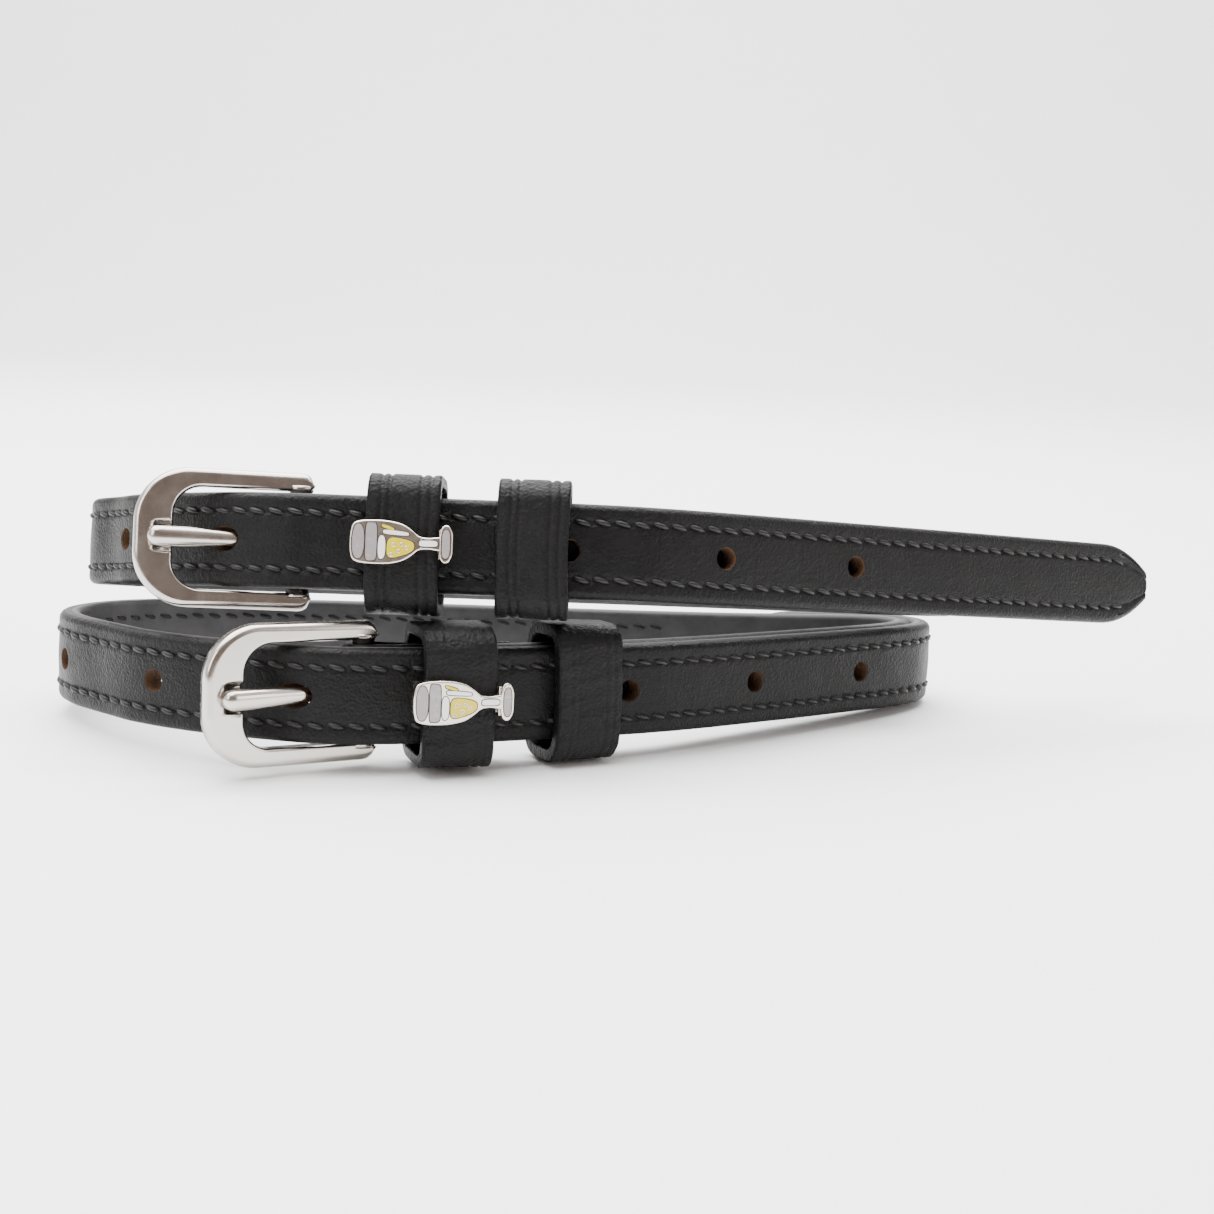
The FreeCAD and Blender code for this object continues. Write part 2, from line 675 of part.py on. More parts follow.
def build_charm(strap, placement):
    """The casting with its channel for the keeper, and the enamel laid into it."""
    front, channel_front, channel_back = charm_depths()
    long, tall = size("charm_length") / 2, size("charm_height") / 2
    plate = size("charm_plate")
    bowl, foot = charm_outlines()
    casting = flat_piece(bowl, front, plate).fuse(flat_piece(foot, front, plate))
    stem = Part.makeBox(long * 0.65, plate, tall * 0.52,
                        Vector(long * 0.15, front, -tall * 0.26))
    casting = casting.fuse(stem)
    channel = size("keeper_width") + 2 * size("charm_channel_clearance")
    length = channel + 2 * size("charm_side_wall")
    height = size("charm_slider_height")
    deep = channel_back + size("charm_back") - channel_front
    seat = Vector(-length / 2, channel_front - plate / 2, -height / 2)
    slider = Part.makeBox(length, deep + plate / 2, height, seat)
    hollow = Part.makeBox(channel, channel_back - channel_front + plate / 2, height * 2,
                          Vector(-channel / 2, channel_front - plate / 2, -height))
    casting = casting.fuse(slider.cut(hollow))
    depth = size("enamel_depth")
    fills = {}
    for colour, outlines in enamel_cells().items():
        fills[colour] = [flat_piece(outline, front, depth) for outline in outlines]
        casting = casting.cut(fills[colour])
    seat = strap.local(strap.over_bar + size(f"{strap.name}_fixed_distance"), 0, size("strap_width") / 2)
    seat = placement.multiply(seat)
    features = [("charm_casting", casting)]
    features += [(f"charm_enamel_{colour}", Part.makeCompound(fill)) for colour, fill in fills.items()]
    built = []
    for part_name, shape in features:
        feature = doc.addObject("Part::Feature", f"{strap.name}_{part_name}")
        feature.Label = f"{strap.name}_{part_name}"
        feature.Shape = shape
        feature.Placement = seat
        built.append(feature)
    return built


# ---------------------------------------------------------------- the pair
def strap_placement(name):
    """How each loop leans back: its buckle and keepers stand proud of its front edge."""
    tilt = FreeCAD.Rotation(Vector(1, 0, 0), -size(f"{name}_tilt"))
    if name == "lower":
        return FreeCAD.Placement(Vector(0, 0, 0), tilt)
    return FreeCAD.Placement(Vector(0, size("upper_setback"), size("upper_rise")), tilt)


STRAPS = {name: Strap(name) for name in ROUTES}
nodes = []
for name, strap in STRAPS.items():
    where = strap_placement(name)
    nodes += build_band(strap, where)
    nodes += build_stitching(strap, where)
    nodes.append(build_frame(strap, where))
    nodes.append(build_tongue(strap, where))
    nodes += build_keepers(strap, where)
    nodes += build_charm(strap, where)
doc.recompute()

# The origin is under the middle of the pair, on the surface that it stands on.
box = FreeCAD.BoundBox()
for node in nodes:
    box.add(node.Shape.optimalBoundingBox(False, False))
ORIGIN = Vector(box.Center.x, box.Center.y, box.ZMin)
for node in nodes:
    node.Placement = FreeCAD.Placement(-ORIGIN, FreeCAD.Rotation()).multiply(node.Placement)
doc.recompute()

# ---------------------------------------------------------------- checks and files
for item in doc.Objects:
    if "Invalid" in item.State or "Error" in item.State:
        raise RuntimeError(f"{item.Label} did not build: {item.State}")
for node in nodes:
    if node.Shape.isNull() or not node.Shape.isValid() or not node.Shape.Solids:
        raise RuntimeError(f"{node.Label} is not a valid solid")

os.makedirs("parts", exist_ok=True)
for node in nodes:
    node.Shape.exportStep(f"parts/{node.Label}.step")
    print(node.Label, len(node.Shape.Solids), round(node.Shape.Volume, 1))
for name, strap in STRAPS.items():
    print(name, "band", round(strap.line.Length, 1), "loop", round(strap.hole, 1))
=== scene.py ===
import json
import math

import bmesh
import bpy
import numpy as np
from mathutils import Matrix, Vector


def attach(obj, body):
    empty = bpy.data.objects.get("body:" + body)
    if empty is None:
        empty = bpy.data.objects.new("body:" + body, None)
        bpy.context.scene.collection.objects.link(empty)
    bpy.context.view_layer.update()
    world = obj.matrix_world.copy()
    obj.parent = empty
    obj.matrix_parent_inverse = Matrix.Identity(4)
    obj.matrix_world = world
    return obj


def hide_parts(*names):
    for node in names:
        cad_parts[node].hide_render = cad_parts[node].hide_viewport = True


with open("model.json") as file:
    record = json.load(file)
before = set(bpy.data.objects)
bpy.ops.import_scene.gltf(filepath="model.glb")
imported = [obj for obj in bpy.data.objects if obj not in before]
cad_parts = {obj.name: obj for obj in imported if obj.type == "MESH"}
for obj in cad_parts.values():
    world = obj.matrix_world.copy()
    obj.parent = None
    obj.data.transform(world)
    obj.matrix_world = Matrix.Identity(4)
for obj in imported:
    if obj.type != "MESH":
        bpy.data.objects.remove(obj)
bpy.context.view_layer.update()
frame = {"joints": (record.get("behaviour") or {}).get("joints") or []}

# ---------------------------------------------------------------- the leather bands
# Each strap is one narrow band: a black face leather and a thinner lining, sewn back to back,
# cut to a blunt point, punched with holes, and folded round the buckle bar at its other end.
# The edges are bevelled and burnished, and the punched holes show the raw brown of the hide,
# darkened as painted shade inside the holes.
MM = 0.001
STRAP_WIDTH = 14.0
MIDDLE = STRAP_WIDTH / 2
FACE_THICKNESS, LINING_THICKNESS = 1.8, 1.4
BAND_THICKNESS = FACE_THICKNESS + LINING_THICKNESS
LAYER_GAP = 0.3
LAYER_STEP = BAND_THICKNESS + LAYER_GAP
FOLD_INNER = 1.6
FOLD_OUTER = FOLD_INNER + FACE_THICKNESS
BAR_DEPTH = LAYER_STEP + FOLD_OUTER
FOLD_ARC = math.pi * (FOLD_INNER + FOLD_OUTER) / 2
TURNBACK_LENGTH, TURNBACK_INSET, TURNBACK_SETTLE = 24.0, 6.85, 8.0
LINING_START = 6.0
FREE_LENGTH, END_OVERLAP = 168.0, 6.0
HOLE_SPACING, HOLE_RADIUS = 25.0, 1.65
POINT_LENGTH, POINT_HALF_END = 11.0, 2.4
TONGUE_LENGTH, FRAME_ANGLE, TONGUE_ANGLE = 22.1, 19.5, 6.81
SLOT_REACH, SLOT_HALF = 4.75, 2.1
# The tongue drags its own hole long and pulls it over to one side.
TONGUE_HOLE = {"reach": 5.0, "radii": (2.75, 1.8), "slant": 1.6}
LEATHER_STEP, END_ROW, EDGE_ROW, EDGE_ROUNDING, BORE_ROUNDING = 0.75, 1.4, 1.25, 1.2, 0.14
GROOVE_WIDTH, GROOVE_DEPTH, STITCH_PULL, CROWN = 0.42, 0.27, 0.14, 0.08
STITCH_PITCH, STITCH_INSET, STITCH_START = 3.0, 2.8, 10.0

# Plan points of each loop, seen from above with the buckle towards -Y: from the left bend over
# the bar and along the free end, and from the right bend along the back wall.
ROUTES = {
    "lower": {
        "front": [
            (-72, 17), (-65, 10.6), (-57.5, 6.2), (-49.5, 3.0), (-42, 0.7), (-35, 0), (-29, 0.9),
            (-22, 2.7), (-15, 4.9), (-8, 7.7), (-2, 10.5), (4, 13.3), (10, 16.2), (17, 20.4),
            (24.2, 25.4), (32.8, 31.6), (41.6, 38.2), (50.6, 45.2), (58.4, 52.0), (63.6, 59.4),
            (63.6, 67.2), (58.0, 72.2), (49, 72.4), (38, 70.0), (26, 67.8), (12, 66.4), (-4, 65.6),
        ],
        "back": [
            (-24, 61.6), (-44, 60.4), (-60, 57.8), (-74, 52.4), (-82.0, 43.8), (-83.4, 34.0),
            (-79.4, 25),
        ],
        "bar": -31.0,
    },
    "upper": {
        "front": [
            (-75.2, 25.6), (-70.8, 18.9), (-65.4, 13.0), (-59.6, 8.5), (-54.0, 5.0), (-48.8, 2.6),
            (-43.2, 1.3), (-37, 1.0), (-31, 0.8), (-24, 0.6), (-17, 0.4), (-10, 0.2), (-3, 0.0),
            (4, 0.6), (11, 2.4), (18, 5.2), (26, 9.2), (35, 14.1), (45, 19.5), (56, 25.4),
            (68, 31.9), (80, 38.6), (92, 45.4), (104, 52.3), (116, 59.2),
        ],
        "leave": 61.0,
        "back": [
            (63.8, 37.6), (61.2, 45.0), (53.4, 48.2), (38, 47.8), (14, 47.4), (-14, 47.4),
            (-42, 48.0), (-62, 48.4), (-73.8, 46.0), (-80.2, 39.8), (-79.8, 32.0),
        ],
        "bar": -44.0,
    },
}
JOINTS = {joint["name"]: joint for joint in frame["joints"]}


def smooth_line(points):
    """A dense line through plan points: distances, positions and directions."""
    p = np.array(points, float)
    t = np.concatenate([[0], np.cumsum(np.linalg.norm(np.diff(p, axis=0), axis=1))])
    n, h = len(p), np.diff(t)
    grid, wanted = np.zeros((n, n)), np.zeros((n, 2))
    grid[0, 0] = grid[-1, -1] = 1
    wanted[0] = np.polyfit(t[:4] - t[0], p[:4], 3)[2]
    wanted[-1] = np.polyfit(t[-4:] - t[-1], p[-4:], 3)[2]
    for i in range(1, n - 1):
        grid[i, i - 1:i + 2] = h[i], 2 * (h[i - 1] + h[i]), h[i - 1]
        wanted[i] = 3 * (h[i - 1] * (p[i + 1] - p[i]) / h[i] + h[i] * (p[i] - p[i - 1]) / h[i - 1])
    slope = np.linalg.solve(grid, wanted)
    at = np.linspace(0, t[-1], int(t[-1] / 0.1))
    i = np.clip(np.searchsorted(t, at, side="right") - 1, 0, n - 2)
    w, u = h[i][:, None], ((at - t[i]) / h[i])[:, None]
    start, end, first, last = p[i], p[i + 1], slope[i] * w, slope[i + 1] * w
    place = (start * (2 * u**3 - 3 * u**2 + 1) + first * (u**3 - 2 * u**2 + u)
             + end * (3 * u**2 - 2 * u**3) + last * (u**3 - u**2))
    way = ((start - end) * (6 * u**2 - 6 * u) + first * (3 * u**2 - 4 * u + 1)
           + last * (3 * u**2 - 2 * u))
    way /= np.linalg.norm(way, axis=1)[:, None]
    length = np.concatenate([[0], np.cumsum(np.linalg.norm(np.diff(place, axis=0), axis=1))])
    return length, place, way


def station(line, distance):
    """Position, direction and inward direction at distances along a line."""
    length, place, way = line
    at = np.stack([np.interp(distance, length, place[:, k]) for k in (0, 1)], -1)
    along = np.stack([np.interp(distance, length, way[:, k]) for k in (0, 1)], -1)
    along = along / np.linalg.norm(along, axis=-1, keepdims=True)
    return at, along, np.stack([-along[..., 1], along[..., 0]], -1)


def beside(line, start, end, inset, step=6.0):
    """Evenly spaced points along a line, moved inwards."""
    at, _, inward = station(line, np.linspace(start, end, max(4, round((end - start) / step)) + 1))
    return at + inward * inset


def lay_out(name):
    """Where a strap's band, bar and holes are."""
    route = ROUTES[name]
    front = smooth_line(route["front"])
    rising = front[0] < front[0][-1] * 0.6
    bar_at = float(np.interp(route["bar"], front[1][rising, 0], front[0][rising]))
    foot, along, inward = station(front, bar_at)
    bar = foot + inward * BAR_DEPTH
    heading = math.atan2(along[1], along[0])
    frame_heading = heading + math.pi + math.radians(FRAME_ANGLE)
    tongue_heading = frame_heading + math.radians(TONGUE_ANGLE)
    reach = np.linspace(bar_at - TONGUE_LENGTH, bar_at, 2000)
    at, _, inwards = station(front, reach)
    offset = at + inwards * BAND_THICKNESS / 2 - bar
    side = math.cos(tongue_heading) * offset[:, 1] - math.sin(tongue_heading) * offset[:, 0]
    hole = float(reach[np.argmax(side >= 0)])
    end = hole + FREE_LENGTH
    if "leave" in route:
        leave = float(np.interp(route["leave"], front[1][:, 0], front[0]))
    else:
        leave = end - END_OVERLAP
    under = beside(front, bar_at, leave, LAYER_STEP)
    line = smooth_line(np.concatenate([under, route["back"], beside(front, 0, end, 0)]))
    over_start = line[0][-1] - end
    joint = JOINTS[f"{name}_buckle_swing"]
    return {
        "name": name, "line": line, "bar": bar, "heading": heading, "length": line[0][-1],
        "frame_heading": frame_heading, "tongue_heading": tongue_heading,
        "hole": over_start + hole, "over_bar": over_start + bar_at, "leave": leave - bar_at,
        "origin": np.array(joint["pos_m"], float), "up": np.array(joint["axis"], float),
    }


def in_world(strap, flat, height):
    """Metres in the object's own frame, from plan points and heights in millimetres."""
    up = strap["up"] / np.linalg.norm(strap["up"])
    right = np.array([1.0, 0, 0])
    away = np.cross(up, right)
    flat = flat - strap["bar"]
    offset = (flat[..., :1] * right + flat[..., 1:2] * away
              + (np.asarray(height) - MIDDLE)[..., None] * up)
    return strap["origin"] + offset * MM


def smoothstep(value):
    value = np.clip(value, 0, 1)
    return value * value * (3 - 2 * value)


def narrowed(strap, distance, height):
    """Heights drawn in towards the middle where the free end comes to its point."""
    left = np.clip((strap["length"] - distance) / POINT_LENGTH, 0, 1)
    half = POINT_HALF_END + (MIDDLE - POINT_HALF_END) * (2 * left - left**2)
    from_edge = MIDDLE - np.abs(height - MIDDLE)
    inner = EDGE_ROW + (from_edge - EDGE_ROW) * (half - EDGE_ROW) / (MIDDLE - EDGE_ROW)
    from_edge = np.where(from_edge < EDGE_ROW, from_edge, inner)
    return MIDDLE + np.sign(height - MIDDLE) * (half - from_edge)


def on_leather(strap, distance, inset, height):
    """A point of the leather. Below zero, the distance runs round the bar and back."""
    distance, inset = np.broadcast_arrays(np.asarray(distance, float), inset)
    at, _, inward = station(strap["line"], np.clip(distance, 0, None))
    flat = at + inward * inset[..., None]
    along = np.array([math.cos(strap["heading"]), math.sin(strap["heading"])])
    across = np.array([-along[1], along[0]])
    turn = np.clip(-distance / FOLD_ARC, 0, 1)[..., None] * math.pi
    radius = (FOLD_OUTER - inset)[..., None]
    folded = strap["bar"] - radius * (across * np.cos(turn) + along * np.sin(turn))
    back = np.clip(-distance - FOLD_ARC, 0, None)
    at, _, inward = station(strap["line"], strap["over_bar"] + back)
    drop = (BAR_DEPTH + FOLD_INNER - TURNBACK_INSET) * (1 - smoothstep(back / TURNBACK_SETTLE))
    returned = at + inward * (TURNBACK_INSET + drop + FACE_THICKNESS - inset)[..., None]
    flat = np.where((distance < 0)[..., None], folded, flat)
    flat = np.where((distance < -FOLD_ARC)[..., None], returned, flat)
    return in_world(strap, flat, narrowed(strap, distance, height))


def outer_relief(strap, distance, height):
    """How far the face sinks at the stitch groove and rises between the grooves."""
    from_edge = MIDDLE - np.abs(height - MIDDLE)
    phase = 2 * math.pi * (distance - strap["leave"] - STITCH_START) / STITCH_PITCH
    groove = np.exp(-((from_edge - STITCH_INSET) / GROOVE_WIDTH) ** 2)
    groove = groove * (GROOVE_DEPTH - STITCH_PULL * np.cos(phase))
    crown = CROWN * smoothstep((from_edge - 3.4) / 3.6)
    ripple = 0.03 * np.sin(distance * 0.31) + 0.02 * np.sin(distance * 0.83 + height * 0.4)
    return groove - crown + ripple


# Rows of the mesh across the band, closer together beside the stitch grooves.
HEIGHTS = np.array([0, EDGE_ROW, 1.9, 2.35, 2.8, 3.25, 3.65, 4.0, 4.9, 5.95])
HEIGHTS = np.concatenate([HEIGHTS, [MIDDLE], STRAP_WIDTH - HEIGHTS[::-1]])
PATCH_HALF = 3.0


def divisions(marks, step):
    """Distances that include every mark, evenly spaced between them."""
    runs = [np.linspace(a, b, max(2, math.ceil((b - a) / step) + 1))[:-1]
            for a, b in zip(marks, marks[1:])]
    return np.concatenate(runs + [marks[-1:]])


def sheet_of_leather(name, along, openings, place, layers, rounding, materials):
    """One leather: two faces and their edges, with round or long openings cut through it."""
    flat = [(s, z, 0.0) for s in along for z in HEIGHTS]
    rows = len(HEIGHTS)
    cells, rims = [], set()
    taken = np.zeros((len(along) - 1, rows - 1), bool)
    mid_s, mid_z = (along[:-1] + along[1:]) / 2, (HEIGHTS[:-1] + HEIGHTS[1:]) / 2
    for opening in openings:
        centre, reach, half = opening["at"], opening["reach"], opening["half"]
        inside_s = np.flatnonzero(np.abs(mid_s - centre) < reach)
        inside_z = np.flatnonzero(np.abs(mid_z - MIDDLE) < half)
        i0, i1, j0, j1 = inside_s[0], inside_s[-1] + 1, inside_z[0], inside_z[-1] + 1
        taken[i0:i1, j0:j1] = True
        if "radii" not in opening:
            continue
        loop = ([(i, j0) for i in range(i0, i1)] + [(i1, j) for j in range(j0, j1)]
                + [(i, j1) for i in range(i1, i0, -1)] + [(i0, j) for j in range(j1, j0, -1)])
        ring = [i * rows + j for i, j in loop]
        corner = np.array([flat[k][:2] for k in ring])
        angle = np.arctan2((corner[:, 1] - MIDDLE) / half, (corner[:, 0] - centre) / reach)
        wide, tall = opening["radii"]
        target = np.stack([centre + wide * np.cos(angle), MIDDLE + tall * np.sin(angle)], -1)
        for share in (0.3, 0.58, 0.82, 1.0):
            first = len(flat)
            points = corner + (target - corner) * share
            flat += [(s, z, opening.get("slant", 0.0) * share) for s, z in points]
            fresh = list(range(first, len(flat)))
            cells += [(ring[k], ring[k - 1], fresh[k - 1], fresh[k]) for k in range(len(ring))]
            ring = fresh
        rims.update(ring)
    cells += [(i * rows + j, (i + 1) * rows + j, (i + 1) * rows + j + 1, i * rows + j + 1)
              for i in range(len(along) - 1) for j in range(rows - 1) if not taken[i, j]]
    used = sorted({k for cell in cells for k in cell})
    new = {k: n for n, k in enumerate(used)}
    sheet = np.array([flat[k] for k in used])
    mesh = bmesh.new()
    sides = []
    for inset, relief in layers:
        s = sheet[:, 0] + sheet[:, 2] * ((inset / BAND_THICKNESS) - 0.5) * 2
        spots = place(s, inset + relief(sheet[:, 0], sheet[:, 1]), sheet[:, 1])
        sides.append([mesh.verts.new(spot) for spot in spots])
    edges = {}
    for cell in cells:
        corners = [new[k] for k in cell]
        mesh.faces.new([sides[0][k] for k in corners]).smooth = True
        mesh.faces.new([sides[1][k] for k in reversed(corners)]).smooth = True
        for a, b in zip(corners, corners[1:] + corners[:1]):
            edges.setdefault(frozenset((a, b)), []).append((a, b))
    weight = mesh.edges.layers.float.new("bevel_weight_edge")
    rim = {new[k] for k in rims}
    for found in edges.values():
        if len(found) > 1:
            continue
        a, b = found[0]
        wall = mesh.faces.new([sides[0][b], sides[0][a], sides[1][a], sides[1][b]])
        wall.smooth = True
        bore = a in rim and b in rim
        wall.material_index = 1 if bore else 0
        for side, amount in zip(sides, rounding):
            edge = mesh.edges.get((side[a], side[b]))
            edge[weight] = BORE_ROUNDING if bore else amount
    bmesh.ops.recalc_face_normals(mesh, faces=mesh.faces)
    return finish_mesh(name, mesh, materials, EDGE_ROUNDING)


def finish_mesh(name, mesh, materials, rounding=0.0):
    """Turns built faces into an object with its materials and rounded edges."""
    data = bpy.data.meshes.new(name)
    mesh.to_mesh(data)
    mesh.free()
    for material in materials:
        data.materials.append(material)
    piece = bpy.data.objects.new(name, data)
    bpy.context.scene.collection.objects.link(piece)
    if rounding:
        bevel = piece.modifiers.new("rounded_edges", "BEVEL")
        bevel.width = rounding * MM
        bevel.limit_method = "WEIGHT"
        bevel.segments = 4
        bevel.use_clamp_overlap = False
        bevel.harden_normals = True
    return piece


def new_material(name, **sockets):
    """A principled material; the values given are set on the shader's own sockets."""
    material = bpy.data.materials.new(name)
    material.use_nodes = True
    shader = material.node_tree.nodes["Principled BSDF"]
    for socket, value in sockets.items():
        shader.inputs[socket.replace("_", " ")].default_value = value
    return material, shader


def add_node(material, kind, links=(), **settings):
    """Adds a node, its settings and the links into it."""
    node = material.node_tree.nodes.new(kind)
    for key, value in settings.items():
        if key in node.inputs:
            node.inputs[key].default_value = value
        else:
            setattr(node, key, value)
    for socket, source in links:
        material.node_tree.links.new(source, node.inputs[socket])
    return node


def mottled(material, shader, coords, dark, light, size, rough):
    """Colour and roughness that wander over the surface at the given size in millimetres."""
    link = material.node_tree.links.new
    cloud = add_node(material, "ShaderNodeTexNoise", [("Vector", coords)],
                     Scale=1000 / size, Detail=5.0, Roughness=0.6)
    colour = add_node(material, "ShaderNodeMix", [("Factor", cloud.outputs["Fac"])],
                      data_type="RGBA")
    colour.inputs[6].default_value, colour.inputs[7].default_value = (*dark, 1), (*light, 1)
    link(colour.outputs[2], shader.inputs["Base Color"])
    shine = add_node(material, "ShaderNodeMapRange", [("Value", cloud.outputs["Fac"])],
                     **{"To Min": rough[0], "To Max": rough[1], "From Min": 0.3, "From Max": 0.7})
    link(shine.outputs["Result"], shader.inputs["Roughness"])


def leather_material(name, dark, light, rough, grain=0.42, relief=0.75):
    """Leather: a fine pebbled grain, its size in millimetres, with slow changes of shine."""
    material, shader = new_material(name, Specular_IOR_Level=0.14)
    coords = add_node(material, "ShaderNodeTexCoord").outputs["Object"]
    mottled(material, shader, coords, dark, light, 5.0, rough)
    pebble = add_node(material, "ShaderNodeTexVoronoi", [("Vector", coords)],
                      Scale=1000 / grain, Randomness=1.0)
    pores = add_node(material, "ShaderNodeTexNoise", [("Vector", coords)],
                     Scale=1000 / 0.9, Detail=6.0, Roughness=0.65)
    both = add_node(material, "ShaderNodeMath", operation="MULTIPLY_ADD",
                    links=[(0, pebble.outputs["Distance"]), (2, pores.outputs["Fac"])])
    both.inputs[1].default_value = 0.55
    bump = add_node(material, "ShaderNodeBump", [("Height", both.outputs[0])],
                    Strength=relief, Distance=0.2 * MM)
    material.node_tree.links.new(bump.outputs["Normal"], shader.inputs["Normal"])
    return material


black_leather = leather_material("waxed_black_leather", (0.0016, 0.0015, 0.0016),
                                 (0.0058, 0.0055, 0.0056), (0.36, 0.5))
lining_leather = leather_material("smooth_grey_lining", (0.035, 0.034, 0.036),
                                  (0.085, 0.083, 0.086), (0.38, 0.55), grain=0.7, relief=0.15)
# The hole walls' colour is partly the real raw brown of the hide and partly painted shade: it is
# darkened to stand in for the shade inside the holes.
hole_hide_with_painted_shade = leather_material("raw_brown_hide_with_painted_shade", (0.03, 0.014, 0.007), (0.10, 0.055, 0.028),
                               (0.75, 0.9), grain=0.25, relief=0.8)

STRAPS = {name: lay_out(name) for name in ROUTES}
for name, strap in STRAPS.items():
    end = strap["length"]
    holes = [strap["hole"] + HOLE_SPACING * k for k in range(-2, 5)]
    bores = [{"at": hole, "reach": PATCH_HALF, "half": PATCH_HALF,
              "radii": (HOLE_RADIUS, HOLE_RADIUS)} for hole in holes]
    bores[holes.index(strap["hole"])].update(TONGUE_HOLE)
    slot = {"at": -FOLD_ARC / 2, "reach": FOLD_ARC / 2 + SLOT_REACH, "half": SLOT_HALF}
    marks = [hole["at"] + side * hole["reach"] for hole in bores for side in (-1, 1)]

    def place(distance, inset, height, strap=strap):
        return on_leather(strap, distance, inset, height)

    def flat_face(distance, height):
        return np.zeros_like(distance)

    def face_relief(distance, height, strap=strap):
        return np.where(distance > STITCH_START, outer_relief(strap, distance, height), 0.0)

    start = -FOLD_ARC - TURNBACK_LENGTH
    fold_marks = [start, start + 1.5, -FOLD_ARC - SLOT_REACH, -FOLD_ARC, 0.0, SLOT_REACH]
    along = divisions(np.array(fold_marks + marks + [end - END_ROW, end]), LEATHER_STEP)
    face = sheet_of_leather(
        f"{name}_face", along, bores + [slot], place,
        ((0.0, face_relief), (FACE_THICKNESS, flat_face)), (1.0, 0.1), (black_leather, hole_hide_with_painted_shade))
    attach(face, f"{name}_strap")
    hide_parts(f"{name}_face_leather")
    lining_marks = [LINING_START, LINING_START + END_ROW] + marks + [end - END_ROW, end]
    along = divisions(np.array(lining_marks), LEATHER_STEP)
    back = sheet_of_leather(
        f"{name}_lining_band", along, bores, place,
        ((FACE_THICKNESS, flat_face), (BAND_THICKNESS, flat_face)), (0.1, 0.75),
        (lining_leather, hole_hide_with_painted_shade))
    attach(back, f"{name}_strap")
    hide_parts(f"{name}_lining")

# ---------------------------------------------------------------- the stitching
# Two rows of waxed black thread run the length of each band in a shallow groove. Every stitch is
# a plump slanted segment that dives into its own hole at both ends.
STITCH_LENGTH, THREAD_RADIUS, STITCH_SLANT = 2.7, 0.4, math.radians(13)
SUNK_OUTSIDE, SUNK_INSIDE = 0.1, 0.12
# How far short of the buckled hole, and how far past the under layer, the inside rows stay.
SHORT_OF_HOLE, PAST_UNDER_LAYER = 14.0, 8.0

thread, thread_shader = new_material("waxed_black_thread", Specular_IOR_Level=0.3)
coords = add_node(thread, "ShaderNodeTexCoord").outputs["Object"]
mottled(thread, thread_shader, coords, (0.002, 0.002, 0.002), (0.007, 0.0068, 0.0066), 0.6,
        (0.3, 0.42))
strands = add_node(thread, "ShaderNodeTexWave", [("Vector", coords)], Scale=1400.0, Distortion=2.0)
strand_bump = add_node(thread, "ShaderNodeBump", [("Height", strands.outputs["Fac"])],
                       Strength=0.35, Distance=0.06 * MM)
thread.node_tree.links.new(strand_bump.outputs["Normal"], thread_shader.inputs["Normal"])


def sewn_row(name, strap, distances, row_height, inset, side):
    """One row of stitches, outside (side -1) or inside (side 1) the band."""
    mesh = bmesh.new()
    rings, around = 9, 8
    u = np.linspace(-1, 1, rings)
    swell = THREAD_RADIUS * (1 - 0.45 * np.abs(u) ** 3)
    lift = 0.36 * np.cos(u * math.pi / 2) ** 0.8 - 0.3
    turn = np.linspace(0, 2 * math.pi, around, endpoint=False)
    shift = u * STITCH_LENGTH / 2
    for count, distance in enumerate(distances):
        wobble = 0.05 * math.sin(count * 2.4)
        s = distance + shift[:, None] * math.cos(STITCH_SLANT) + 0 * turn
        z = (row_height + wobble + side * shift[:, None] * math.sin(STITCH_SLANT)
             + swell[:, None] * np.sin(turn))
        depth = inset + side * (lift[:, None] + swell[:, None] * np.cos(turn))
        spots = on_leather(strap, s, depth, z)
        verts = [[mesh.verts.new(spot) for spot in ring] for ring in spots]
        for a, b in zip(verts, verts[1:]):
            for k in range(around):
                mesh.faces.new((a[k], a[k - 1], b[k - 1], b[k])).smooth = True
        mesh.faces.new(verts[0])
        mesh.faces.new(verts[-1])
    bmesh.ops.recalc_face_normals(mesh, faces=mesh.faces)
    row = finish_mesh(name, mesh, (thread,))
    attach(row, f"{strap['name']}_strap")
    return row


for name, strap in STRAPS.items():
    first, last = strap["leave"] + STITCH_START, strap["length"] - POINT_LENGTH * 0.72
    outside = np.arange(first, last, STITCH_PITCH)
    within = outside[outside < strap["hole"] - SHORT_OF_HOLE]
    if "leave" in ROUTES[name]:
        clear = strap["over_bar"] + strap["leave"] + PAST_UNDER_LAYER
        within = np.concatenate([within, outside[outside > clear]])
    for row, height in (("upper_row", STRAP_WIDTH - STITCH_INSET), ("lower_row", STITCH_INSET)):
        sewn = sewn_row(f"{name}_thread_{row}", strap, outside, height, SUNK_OUTSIDE, -1)
        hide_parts(f"{name}_stitching_{row}")
        sewn_row(f"{name}_thread_inside_{row}", strap, within, height,
                 BAND_THICKNESS - SUNK_INSIDE, 1)

# ---------------------------------------------------------------- the keepers
# Each strap has two closed loops of the same black leather. The first is sewn in beside the
# buckle, and the second runs loose along the band. Pairs of creased lines follow both edges.
KEEPER_WIDTH, KEEPER_HEIGHT, KEEPER_THICKNESS, KEEPER_CORNER = 10.6, 20.6, 1.8, 3.8
CREASES, CREASE_WIDTH, CREASE_DEPTH = (0.19, 0.30, 0.73, 0.86), 0.26, 0.3
LAYERS_DEEP = 2 * BAND_THICKNESS + LAYER_GAP
